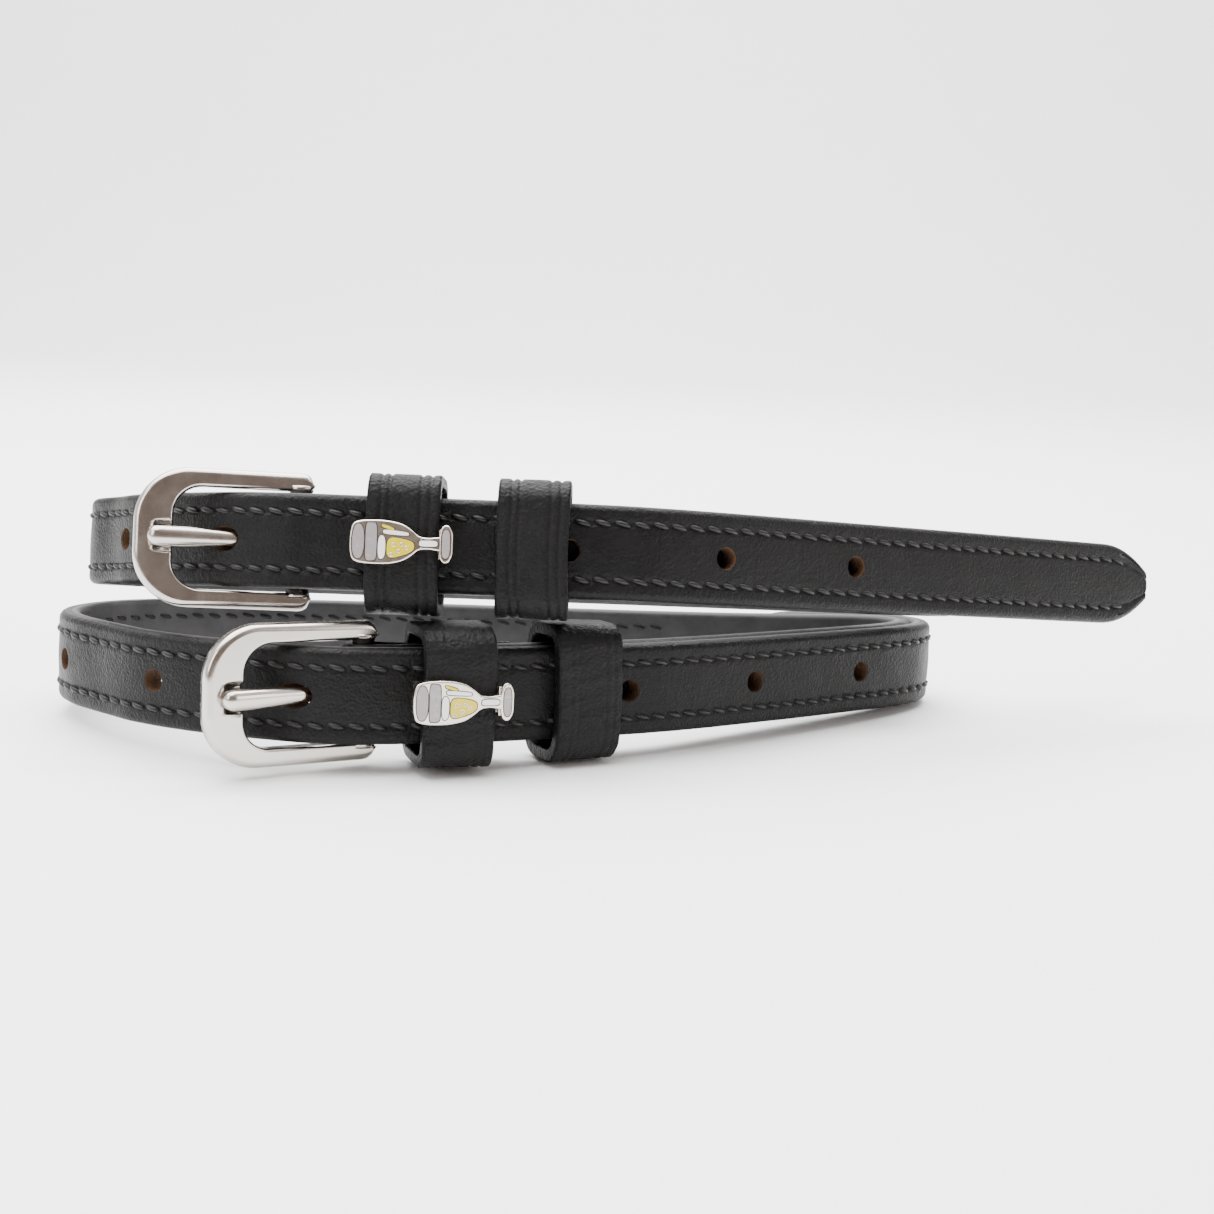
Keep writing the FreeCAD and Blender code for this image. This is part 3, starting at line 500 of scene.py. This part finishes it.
# For each: distance from the bar, gap in front of the band, inside depth, sharpness of its creases.
KEEPERS = {
    "lower_fixed_keeper": (13.0, 1.6, LAYERS_DEEP + 0.15 + FACE_THICKNESS + 1.95, 0.35),
    "lower_running_keeper": (33.4, 0.75, LAYERS_DEEP + 1.5, 0.3),
    "upper_fixed_keeper": (17.2, 1.6, LAYERS_DEEP + 0.15 + FACE_THICKNESS + 1.95, 1.0),
    "upper_running_keeper": (36.0, 0.75, LAYERS_DEEP + 1.5, 1.0),
}
keeper_leather = leather_material("keeper_black_leather", (0.0018, 0.0017, 0.0018),
                                  (0.0065, 0.0062, 0.0063), (0.38, 0.54), grain=0.5, relief=1.0)


def rounded_loop(deep, tall, radius, count=12):
    """Corner-rounded rectangle, as points round its middle."""
    points = []
    for quarter, (cy, cz) in enumerate(((1, 1), (-1, 1), (-1, -1), (1, -1))):
        centre = np.array([cy * (deep / 2 - radius), cz * (tall / 2 - radius)])
        turn = math.pi / 2 * (quarter + np.linspace(0, 1, count))
        points.append(centre + radius * np.stack([np.cos(turn), np.sin(turn)], -1))
    loop = np.concatenate(points)
    return np.concatenate([loop, loop[:1]])


def even_loop(closed, count):
    """The same loop with evenly spaced points."""
    length = np.concatenate([[0], np.cumsum(np.linalg.norm(np.diff(closed, axis=0), axis=1))])
    at = np.linspace(0, length[-1], count, endpoint=False)
    return np.stack([np.interp(at, length, closed[:, k]) for k in (0, 1)], -1)


def local_frame(strap, distance):
    """Turns points beside one station of the band into world points."""
    at, along, inward = station(strap["line"], distance)

    def place(x, y, z):
        flat = at + np.asarray(x)[..., None] * along + np.asarray(y)[..., None] * inward
        return in_world(strap, flat, MIDDLE + np.asarray(z))
    return place


for node, (distance, front_gap, deep, crease) in KEEPERS.items():
    strap = STRAPS[node.split("_")[0]]
    place = local_frame(strap, strap["over_bar"] + distance)
    wall = KEEPER_THICKNESS
    outer = even_loop(rounded_loop(deep + 2 * wall, KEEPER_HEIGHT, KEEPER_CORNER), 132)
    inner = even_loop(rounded_loop(deep, KEEPER_HEIGHT - 2 * wall, KEEPER_CORNER - wall), 132)
    middle_y = deep / 2 - front_gap
    x = np.linspace(-KEEPER_WIDTH / 2, KEEPER_WIDTH / 2, 51)
    share = (x + KEEPER_WIDTH / 2) / KEEPER_WIDTH
    lines = sum(np.exp(-((share - at) * KEEPER_WIDTH / CREASE_WIDTH) ** 2) for at in CREASES)
    mesh = bmesh.new()
    shells = []
    for loop, sunk in ((outer, True), (inner, False)):
        step = np.roll(loop, -1, 0) - np.roll(loop, 1, 0)
        normal = np.stack([step[:, 1], -step[:, 0]], -1)
        normal /= np.linalg.norm(normal, axis=1)[:, None]
        y, z = loop[:, :1], loop[:, 1:]
        dip = 0.0
        if sunk:
            wrinkle = 0.07 * np.sin(z * 0.9 + x * 0.3 + distance) + 0.04 * np.sin(z * 2.3 - x * 0.5)
            bulge = 0.28 * np.clip(1 - (z / 9.5) ** 2, 0, 1) * (y < 0) * (1 - (2 * share - 1) ** 4)
            dip = CREASE_DEPTH * crease * lines + wrinkle * (1.3 - crease) - bulge
        ys = y - normal[:, :1] * dip + middle_y + 0 * x
        zs = z - normal[:, 1:] * dip + 0 * x
        xs = x + 0.12 * np.sin(z * 0.35 + distance) + 0 * ys
        shells.append([[mesh.verts.new(spot) for spot in ring] for ring in place(xs, ys, zs)])
    weight = mesh.edges.layers.float.new("bevel_weight_edge")
    for shell in shells:
        for a, b in zip(shell, shell[1:] + shell[:1]):
            for k in range(len(x) - 1):
                mesh.faces.new((a[k], a[k + 1], b[k + 1], b[k])).smooth = True
    for k in (0, -1):
        for i in range(len(shells[0])):
            a, b = shells[0][i - 1][k], shells[0][i][k]
            c, d = shells[1][i][k], shells[1][i - 1][k]
            mesh.faces.new((a, b, c, d)).smooth = True
            mesh.edges.get((a, b))[weight] = 1.0
            mesh.edges.get((c, d))[weight] = 0.6
    bmesh.ops.recalc_face_normals(mesh, faces=mesh.faces)
    keeper = finish_mesh(f"{node}_loop", mesh, (keeper_leather,), 0.4)
    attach(keeper, f"{strap['name']}_{'strap' if 'fixed' in node else 'loose_keeper'}")
    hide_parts(node)

# ---------------------------------------------------------------- the buckles
# Stainless steel horseshoe buckles, cast in one piece with the bar and polished, each with a
# round-tipped tongue that turns on the bar and lies in a notch of the bow.
steel, steel_shader = new_material("polished_steel_with_painted_warm_reflection", Metallic=1.0, Specular_IOR_Level=0.5)
coords = add_node(steel, "ShaderNodeTexCoord").outputs["Object"]
# The steel's base colour is partly its own grey and partly painted reflection: it is darkened and
# warmed to stand in for the warm brown surroundings that the polished metal reflects.
mottled(steel, steel_shader, coords, (0.44, 0.405, 0.37), (0.56, 0.525, 0.49), 3.0,
        (0.16, 0.26))
scratches = add_node(steel, "ShaderNodeTexNoise", [("Vector", coords)], Scale=2500.0, Detail=3.0)
steel_bump = add_node(steel, "ShaderNodeBump", [("Height", scratches.outputs["Fac"])],
                      Strength=0.04, Distance=0.03 * MM)
steel.node_tree.links.new(steel_bump.outputs["Normal"], steel_shader.inputs["Normal"])

FRAME_REACH, FRAME_HEEL, FRAME_HALF, WINDOW_HALF = 24.0, 2.0, 10.3, 7.6
BOW_WIDTH, OUTER_CORNER, INNER_CORNER, FRAME_DEPTH = 5.6, 8.0, 4.2, 2.8
HEEL_ROUNDING, BAR_RADIUS = 1.9, 1.5
NOTCH_DEPTH, NOTCH_HALF = 1.0, 2.05
OUTER_BEVEL, BEVEL_DROP, INNER_EASE, BACK_EASE = 1.15, 1.0, 0.45, 0.5


def horseshoe(reach, half, corner):
    """One side of the frame, from its upper heel round the bow to its lower heel."""
    upper = [(x, half) for x in np.linspace(-FRAME_HEEL, reach - corner, 30)[:-1]]
    turn = np.linspace(math.pi / 2, 0, 25)
    arc = [(reach - corner + corner * math.cos(a), half - corner + corner * math.sin(a))
           for a in turn]
    bow = [(reach, z) for z in np.linspace(half - corner, 0, 16)[1:]]
    top = np.array(upper + arc + bow)
    return np.concatenate([top, (top * (1, -1))[-2::-1]])


def at_bar(strap, heading):
    """Turns points of a piece on the buckle bar into world points."""
    x_way = np.array([math.cos(heading), math.sin(heading)])
    y_way = np.array([-x_way[1], x_way[0]])

    def place(x, y, z):
        flat = strap["bar"] + np.asarray(x)[..., None] * x_way + np.asarray(y)[..., None] * y_way
        return in_world(strap, flat, MIDDLE + np.asarray(z))
    return place


def tube(mesh, spots, closed_ends=True):
    """Skins rings of world points."""
    verts = [[mesh.verts.new(spot) for spot in ring] for ring in spots]
    for a, b in zip(verts, verts[1:]):
        for k in range(len(a)):
            mesh.faces.new((a[k], a[k - 1], b[k - 1], b[k])).smooth = True
    if closed_ends:
        mesh.faces.new(verts[0]).smooth = True
        mesh.faces.new(verts[-1]).smooth = True


def cast_frame(strap):
    """The horseshoe: side bars and bow swept in one, and the round bar between the heels."""
    outer = horseshoe(FRAME_REACH, FRAME_HALF, OUTER_CORNER)
    inner = horseshoe(FRAME_REACH - BOW_WIDTH, WINDOW_HALF, INNER_CORNER)
    heel = np.clip(-outer[:, 0] - FRAME_HEEL + HEEL_ROUNDING, 0, HEEL_ROUNDING)
    drop = HEEL_ROUNDING - np.sqrt(HEEL_ROUNDING**2 - heel**2)
    outer[:, 1] -= np.sign(outer[:, 1]) * drop
    inner[:, 1] += np.sign(inner[:, 1]) * drop * 0.38
    wide = np.linalg.norm(inner - outer, axis=1)[:, None]
    half = FRAME_DEPTH / 2
    turn = np.linspace(0, math.pi / 2, 6)
    across = np.concatenate([OUTER_BEVEL * (1 - np.cos(turn)), [OUTER_BEVEL + 0.1, 2.0, 2.95, 3.1]])
    up = np.concatenate([half - BEVEL_DROP + BEVEL_DROP * np.sin(turn), [half] * 4])
    share = np.minimum(across / wide, [0.426] * len(turn) + [0.46, 0.50, 0.53, 0.56])
    inward = np.concatenate([[INNER_EASE + 0.1], INNER_EASE * (1 - np.cos(turn[::-1]))])
    share = np.concatenate([share, 1 - np.minimum(inward / wide, 0.4)], axis=1)
    up = np.concatenate([up, [half], half - INNER_EASE + INNER_EASE * np.sin(turn[::-1])])
    back_share = np.concatenate([1 - 0 * wide, 1 - np.minimum(BACK_EASE / wide, 0.4),
                                 np.minimum(0.6 / wide, 0.4), 0 * wide], axis=1)
    share = np.concatenate([share, back_share], axis=1)
    up = np.concatenate([up, [-half + BACK_EASE, -half, -half, -half + 0.6]]) + 0 * wide
    x = outer[:, :1] + (inner - outer)[:, :1] * share
    z = outer[:, 1:] + (inner - outer)[:, 1:] * share
    in_notch = smoothstep((NOTCH_HALF + 0.25 - np.abs(z)) / 0.5) * (x < FRAME_REACH - 3.0)
    in_notch = in_notch * (x > FRAME_REACH - BOW_WIDTH - 0.5)
    y = np.where(up > 0, up - NOTCH_DEPTH * in_notch * (up > 0.4), up)
    mesh = bmesh.new()
    place = at_bar(strap, strap["frame_heading"])
    tube(mesh, place(x, y, z))
    around = np.linspace(0, 2 * math.pi, 32, endpoint=False)
    along = np.linspace(-WINDOW_HALF - 0.8, WINDOW_HALF + 0.8, 25)[:, None]
    flare = BAR_RADIUS + 0.5 * np.clip(np.abs(along) - WINDOW_HALF + 0.7, 0, 1) ** 2
    tube(mesh, place(flare * np.cos(around), flare * np.sin(around) * 0.99, along + 0 * around))
    bmesh.ops.recalc_face_normals(mesh, faces=mesh.faces)
    return finish_mesh(f"{strap['name']}_horseshoe", mesh, (steel,))


EYE_RADIUS, EYE_BORE, EYE_HALF = 2.85, 1.55, 1.65
SHANK_START, TIP_LENGTH, WAIST_RADIUS = 2.2, 1.5, 1.12


def forge_tongue(strap):
    """The tongue: an eye closed round the bar, a slim waist and a plump round tip."""
    mesh = bmesh.new()
    place = at_bar(strap, strap["tongue_heading"])
    tip = TONGUE_LENGTH - TIP_LENGTH
    x = np.concatenate([np.linspace(SHANK_START, tip, 36),
                        tip + TIP_LENGTH * np.sin(np.linspace(0.1, 1, 9) * math.pi / 2)])
    body = WAIST_RADIUS + 0.38 * smoothstep((x - 8) / 10) + 0.35 * smoothstep((6 - x) / 4)
    past = np.clip(x - tip, 0, TIP_LENGTH) / TIP_LENGTH
    end = np.sqrt(np.clip(1 - past**2, 0.0004, 1))
    radius = (body * end)[:, None]
    around = np.linspace(0, 2 * math.pi, 28, endpoint=False)
    side, face = np.sin(around), np.cos(around)
    flat_top = np.sign(face) * np.abs(face) ** 0.72
    broad = np.sign(side) * np.abs(side) ** 0.9
    tube(mesh, place(x[:, None] + 0 * around, radius * flat_top * 0.96, radius * broad))
    turn = np.linspace(0, 2 * math.pi, 49)
    ring = np.linspace(0, 2 * math.pi, 24, endpoint=False)
    thick, middle = (EYE_RADIUS - EYE_BORE) / 2, (EYE_RADIUS + EYE_BORE) / 2
    r = middle + thick * np.sign(np.cos(ring)) * np.abs(np.cos(ring)) ** 0.6
    z = EYE_HALF * np.sign(np.sin(ring)) * np.abs(np.sin(ring)) ** 0.35
    spots = place(np.cos(turn)[:, None] * r, np.sin(turn)[:, None] * r, z + 0 * turn[:, None])
    tube(mesh, spots, closed_ends=False)
    bmesh.ops.remove_doubles(mesh, verts=mesh.verts, dist=1e-7)
    bmesh.ops.recalc_face_normals(mesh, faces=mesh.faces)
    return finish_mesh(f"{strap['name']}_tongue_forging", mesh, (steel,))


for name, strap in STRAPS.items():
    for piece, body, node in ((cast_frame(strap), "buckle", "buckle_frame"),
                              (forge_tongue(strap), "tongue", "buckle_tongue")):
        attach(piece, f"{name}_{body}")
        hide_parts(f"{name}_{node}")

# ---------------------------------------------------------------- the slide charms
# A glass lying on its side, cast in pale polished metal with its cells filled with enamel. A
# channel on its back slides over the first keeper.
charm_metal, charm_shader = new_material("pale_charm_metal", Metallic=1.0)
coords = add_node(charm_metal, "ShaderNodeTexCoord").outputs["Object"]
mottled(charm_metal, charm_shader, coords, (0.55, 0.49, 0.42), (0.74, 0.70, 0.64), 1.5,
        (0.16, 0.28))


def enamel(name, dark, light):
    """Fired enamel: clear gloss over a slightly clouded colour."""
    material, shader = new_material(name, Coat_Weight=0.25, Coat_Roughness=0.08)
    at = add_node(material, "ShaderNodeTexCoord").outputs["Object"]
    mottled(material, shader, at, dark, light, 1.2, (0.18, 0.3))
    return material


ENAMELS = {
    "yellow": enamel("yellow_enamel", (0.50, 0.40, 0.0), (0.62, 0.50, 0.0)),
    "grey": enamel("grey_enamel", (0.20, 0.18, 0.18), (0.31, 0.28, 0.28)),
    "white": enamel("white_enamel", (0.70, 0.67, 0.66), (0.84, 0.82, 0.80)),
}
recess, recess_shader = new_material("blackened_recess", Metallic=0.6)
coords = add_node(recess, "ShaderNodeTexCoord").outputs["Object"]
mottled(recess, recess_shader, coords, (0.012, 0.010, 0.008), (0.05, 0.042, 0.036), 0.8,
        (0.35, 0.5))

PLATE_THICKNESS, CHARM_CLEARANCE = 1.3, 0.15
CHARM_FRONT = -(KEEPERS["lower_fixed_keeper"][1] + KEEPER_THICKNESS + CHARM_CLEARANCE
                + PLATE_THICKNESS)
CHARM_BACK = -1.45 + 0.8
PLATE_BACK = CHARM_FRONT + PLATE_THICKNESS
BOWL = [(-7.25, 0), (-7.15, 1.5), (-6.75, 2.6), (-5.6, 3.05), (-3.6, 3.2), (-1.6, 3.1), (0.2, 2.7),
        (1.5, 1.95), (2.4, 1.2), (3.0, 0.85), (3.1, 0)]
STEM = [(2.2, 0), (2.2, 0.95), (4.0, 0.86), (6.0, 1.0), (6.2, 0)]
FOOT = [(5.55, 0), (5.6, 1.4), (5.85, 2.35), (6.4, 2.75), (7.0, 2.5), (7.45, 1.5), (7.5, 0)]
# Enamel cells: left, right, bottom, top, how square the corners are, how much lower on the right.
CELLS = {
    "rim": ("grey", -6.85, -5.15, -2.45, 2.5, 2.4, 0.0),
    "glass": ("grey", -4.95, -3.35, -2.75, 2.8, 5.0, 0.05),
    "liquid_top": ("white", -3.15, -2.1, -2.5, 1.0, 2.6, 0.1),
    "liquid": ("yellow", -1.9, 2.0, -2.55, 0.9, 3.2, 0.55),
    "highlight": ("white", -2.5, 1.2, 1.2, 1.85, 4.0, 0.25),
    "upper_liquid": ("yellow", -2.7, -0.9, 2.15, 2.65, 3.0, 0.3),
    "stem": ("white", 2.7, 5.3, -0.42, 0.42, 4.0, 0.0),
    "foot": ("grey", 5.95, 7.1, -2.05, 2.05, 2.8, 0.0),
}
CELL_DEPTH, ENAMEL_PROUD, OUTLINE_PROUD, OUTLINE_WIDTH = 0.2, 0.05, 0.015, 0.13
BUBBLES = [(-1.25, -1.75), (-0.95, -0.35), (-0.15, -1.25), (0.25, -0.3), (0.95, -0.75)]


def smooth_ring(half, count=16):
    """A smooth closed outline from its upper half."""
    full = half + [(x, -z) for x, z in reversed(half[1:-1])]
    points = np.array(full, float)
    ring = []
    for k in range(len(points)):
        a, b, c, d = (points[(k + i) % len(points)] for i in (-1, 0, 1, 2))
        for u in np.linspace(0, 1, count, endpoint=False):
            ring.append(0.5 * (2 * b + (c - a) * u + (2 * a - 5 * b + 4 * c - d) * u**2
                               + (3 * b - a - 3 * c + d) * u**3))
    return np.array(ring)


def cell_ring(left, right, low, high, square, taper, grow=0.0):
    """Outline of one enamel cell."""
    turn = np.linspace(0, 2 * math.pi, 64, endpoint=False)
    c, s = np.cos(turn), np.sin(turn)
    wide, tall = (right - left) / 2 + grow, (high - low) / 2
    u = np.sign(c) * np.abs(c) ** (2 / square)
    v = np.sign(s) * np.abs(s) ** (2 / square)
    tall = tall * (1 - taper * (u + 1) / 2) + grow
    middle = (high + low) / 2
    middle = middle * (1 - taper * 0.75 * (u + 1) / 2)
    return np.stack([(left + right) / 2 + wide * u, middle + tall * v], -1)


def plate(mesh, ring, place, front, back, weight=1.0):
    """A flat piece with the given outline; its front edge is rounded by weight."""
    layer = mesh.edges.layers.float.get("bevel_weight_edge") or mesh.edges.layers.float.new(
        "bevel_weight_edge")
    sides = [[mesh.verts.new(spot)
              for spot in place(ring[:, 0], depth + 0 * ring[:, 0], ring[:, 1])]
             for depth in (front, back)]
    faces = [mesh.faces.new(sides[0]), mesh.faces.new(list(reversed(sides[1])))]
    for k in range(len(ring)):
        a, b = sides[0][k - 1], sides[0][k]
        c, d = sides[1][k], sides[1][k - 1]
        faces.append(mesh.faces.new((b, a, d, c)))
        mesh.edges.get((a, b))[layer] = weight
    for face in faces:
        face.smooth = True


def block(mesh, place, low, high):
    """A solid rib between two corners, its long edges rounded."""
    ring = cell_ring(low[0], high[0], low[2], high[2], 14.0, 0.0)
    plate(mesh, ring, place, low[1], high[1], 0.5)


for name, strap in STRAPS.items():
    place = local_frame(strap, strap["over_bar"] + KEEPERS[f"{name}_fixed_keeper"][0])
    mesh = bmesh.new()
    plate(mesh, smooth_ring(BOWL), place, CHARM_FRONT, PLATE_BACK)
    plate(mesh, smooth_ring(STEM), place, CHARM_FRONT + 0.12, PLATE_BACK)
    plate(mesh, smooth_ring(FOOT), place, CHARM_FRONT, PLATE_BACK)
    block(mesh, place, (-6.45, PLATE_BACK - 0.4, -2.6), (-5.45, CHARM_BACK, 2.6))
    block(mesh, place, (5.45, PLATE_BACK - 0.4, -2.1), (6.45, CHARM_BACK, 2.1))
    block(mesh, place, (-6.3, CHARM_BACK - 0.8, -2.1), (6.3, CHARM_BACK, 2.1))
    bmesh.ops.recalc_face_normals(mesh, faces=mesh.faces)
    casting = finish_mesh(f"{name}_charm_body", mesh, (charm_metal,), 0.26)
    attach(casting, f"{name}_charm")
    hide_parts(f"{name}_charm_casting")
    outline = bmesh.new()
    fills = {colour: bmesh.new() for colour in ENAMELS}
    for colour, *cell in CELLS.values():
        floor_of_cell = CHARM_FRONT + CELL_DEPTH
        plate(outline, cell_ring(*cell, grow=OUTLINE_WIDTH), place,
              CHARM_FRONT - OUTLINE_PROUD, floor_of_cell, 0.1)
        plate(fills[colour], cell_ring(*cell), place,
              CHARM_FRONT - ENAMEL_PROUD, floor_of_cell, 0.5)
    bmesh.ops.recalc_face_normals(outline, faces=outline.faces)
    lines = finish_mesh(f"{name}_charm_outlines", outline, (recess,))
    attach(lines, f"{name}_charm")
    for colour, filled in fills.items():
        bmesh.ops.recalc_face_normals(filled, faces=filled.faces)
        piece = finish_mesh(f"{name}_enamel_{colour}", filled, (ENAMELS[colour],), 0.05)
        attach(piece, f"{name}_charm")
        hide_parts(f"{name}_charm_enamel_{colour}")
    rings = bmesh.new()
    turn = np.linspace(0, 2 * math.pi, 25)
    ring = np.linspace(0, 2 * math.pi, 10, endpoint=False)
    for x, z in BUBBLES:
        spread = 0.24 + 0.08 * np.cos(ring)
        tube(rings, place(x + np.cos(turn)[:, None] * spread,
                          CHARM_FRONT - 0.06 + 0.08 * np.sin(ring) + 0 * turn[:, None],
                          z + np.sin(turn)[:, None] * spread), False)
    bmesh.ops.remove_doubles(rings, verts=rings.verts, dist=1e-7)
    bmesh.ops.recalc_face_normals(rings, faces=rings.faces)
    bubbles = finish_mesh(f"{name}_charm_bubbles", rings, (charm_metal,))
    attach(bubbles, f"{name}_charm")

# ---------------------------------------------------------------- floor, light and camera
# A plain pale sweep, in metres, that curves up behind. A broad soft box hangs overhead, one lights
# the sweep, and two smaller ones stand to the left and low on the right.
SWEEP_HALF_WIDTH, SWEEP_START, SWEEP_RADIUS, SWEEP_TOP, SWEEP_FRONT = 4.0, 1.2, 0.8, 3.0, -0.36
profile = [(SWEEP_FRONT, 0.0), (SWEEP_START, 0.0)]
for turn in np.linspace(0, math.pi / 2, 25)[1:]:
    profile.append((SWEEP_START + SWEEP_RADIUS * math.sin(turn),
                    SWEEP_RADIUS * (1 - math.cos(turn))))
profile.append((SWEEP_START + SWEEP_RADIUS, SWEEP_TOP))
floor_mesh = bmesh.new()
rows = [[floor_mesh.verts.new((side, y, z)) for side in (-SWEEP_HALF_WIDTH, SWEEP_HALF_WIDTH)]
        for y, z in profile]
for a, b in zip(rows, rows[1:]):
    floor_mesh.faces.new((a[0], a[1], b[1], b[0])).smooth = True
floor_material, floor_shader = new_material("pale_floor")
coords = add_node(floor_material, "ShaderNodeTexCoord").outputs["Object"]
mottled(floor_material, floor_shader, coords, (0.93, 0.93, 0.93), (0.95, 0.95, 0.95), 90.0,
        (0.7, 0.8))
floor = finish_mesh("pale_floor", floor_mesh, (floor_material,))

world = bpy.data.worlds.new("studio")
bpy.context.scene.world = world
world.use_nodes = True
background = world.node_tree.nodes["Background"]
background.inputs["Strength"].default_value = 1.1
sky = add_node(world, "ShaderNodeTexCoord").outputs["Generated"]
axes = add_node(world, "ShaderNodeSeparateXYZ", [(0, sky)])
shift = add_node(world, "ShaderNodeMapRange", [("Value", axes.outputs["Y"])], **{"From Min": -1.0})
fade = add_node(world, "ShaderNodeValToRGB", [("Fac", shift.outputs["Result"])])
world.node_tree.links.new(fade.outputs["Color"], background.inputs["Color"])
behind, ahead = fade.color_ramp.elements
behind.position, behind.color = 0.1, (0.30, 0.24, 0.21, 1)
ahead.position, ahead.color = 0.6, (1.7, 1.7, 1.7, 1)


def soft_box(name, place, target, width, height, power, colour=(1, 1, 1)):
    """A rectangular lamp aimed at a point."""
    data = bpy.data.lights.new(name, "AREA")
    data.shape = "RECTANGLE"
    data.size, data.size_y, data.energy, data.color = width, height, power, colour
    lamp = bpy.data.objects.new(name, data)
    lamp.location = place
    aim = Vector(target) - Vector(place)
    lamp.rotation_euler = aim.to_track_quat("-Z", "Y").to_euler()
    bpy.context.scene.collection.objects.link(lamp)


soft_box("overhead", (-0.15, 0.1, 0.75), (0, 0, 0), 1.2, 1.0, 31.0)
soft_box("backdrop", (0.0, 0.6, 1.6), (0, 1.9, 0.6), 2.5, 0.5, 85.0)
soft_box("left_front", (-0.65, -0.55, 0.4), (-0.02, 0, 0.02), 0.35, 0.5, 3.0)
soft_box("right_low", (0.7, -0.35, 0.25), (0, 0, 0.02), 0.25, 0.3, 1.2, (1, 0.95, 0.9))

CAMERA_PLACE = Vector((-17.2, -266.7, 68.8)) * MM
CAMERA_PITCH, CAMERA_YAW, CAMERA_ROLL = map(math.radians, (10.30, -2.62, 2.62))
CAMERA_LENS = 49.7
camera_data = bpy.data.cameras.new("camera")
camera_data.sensor_width = 36.0
camera_data.lens = CAMERA_LENS
camera_data.clip_start = 0.01
camera = bpy.data.objects.new("camera", camera_data)
camera.matrix_world = (Matrix.Translation(CAMERA_PLACE) @ Matrix.Rotation(CAMERA_YAW, 4, "Z")
                       @ Matrix.Rotation(math.pi / 2 - CAMERA_PITCH, 4, "X")
                       @ Matrix.Rotation(CAMERA_ROLL, 4, "Z"))
bpy.context.scene.collection.objects.link(camera)
bpy.context.scene.camera = camera

bpy.context.view_layer.update()
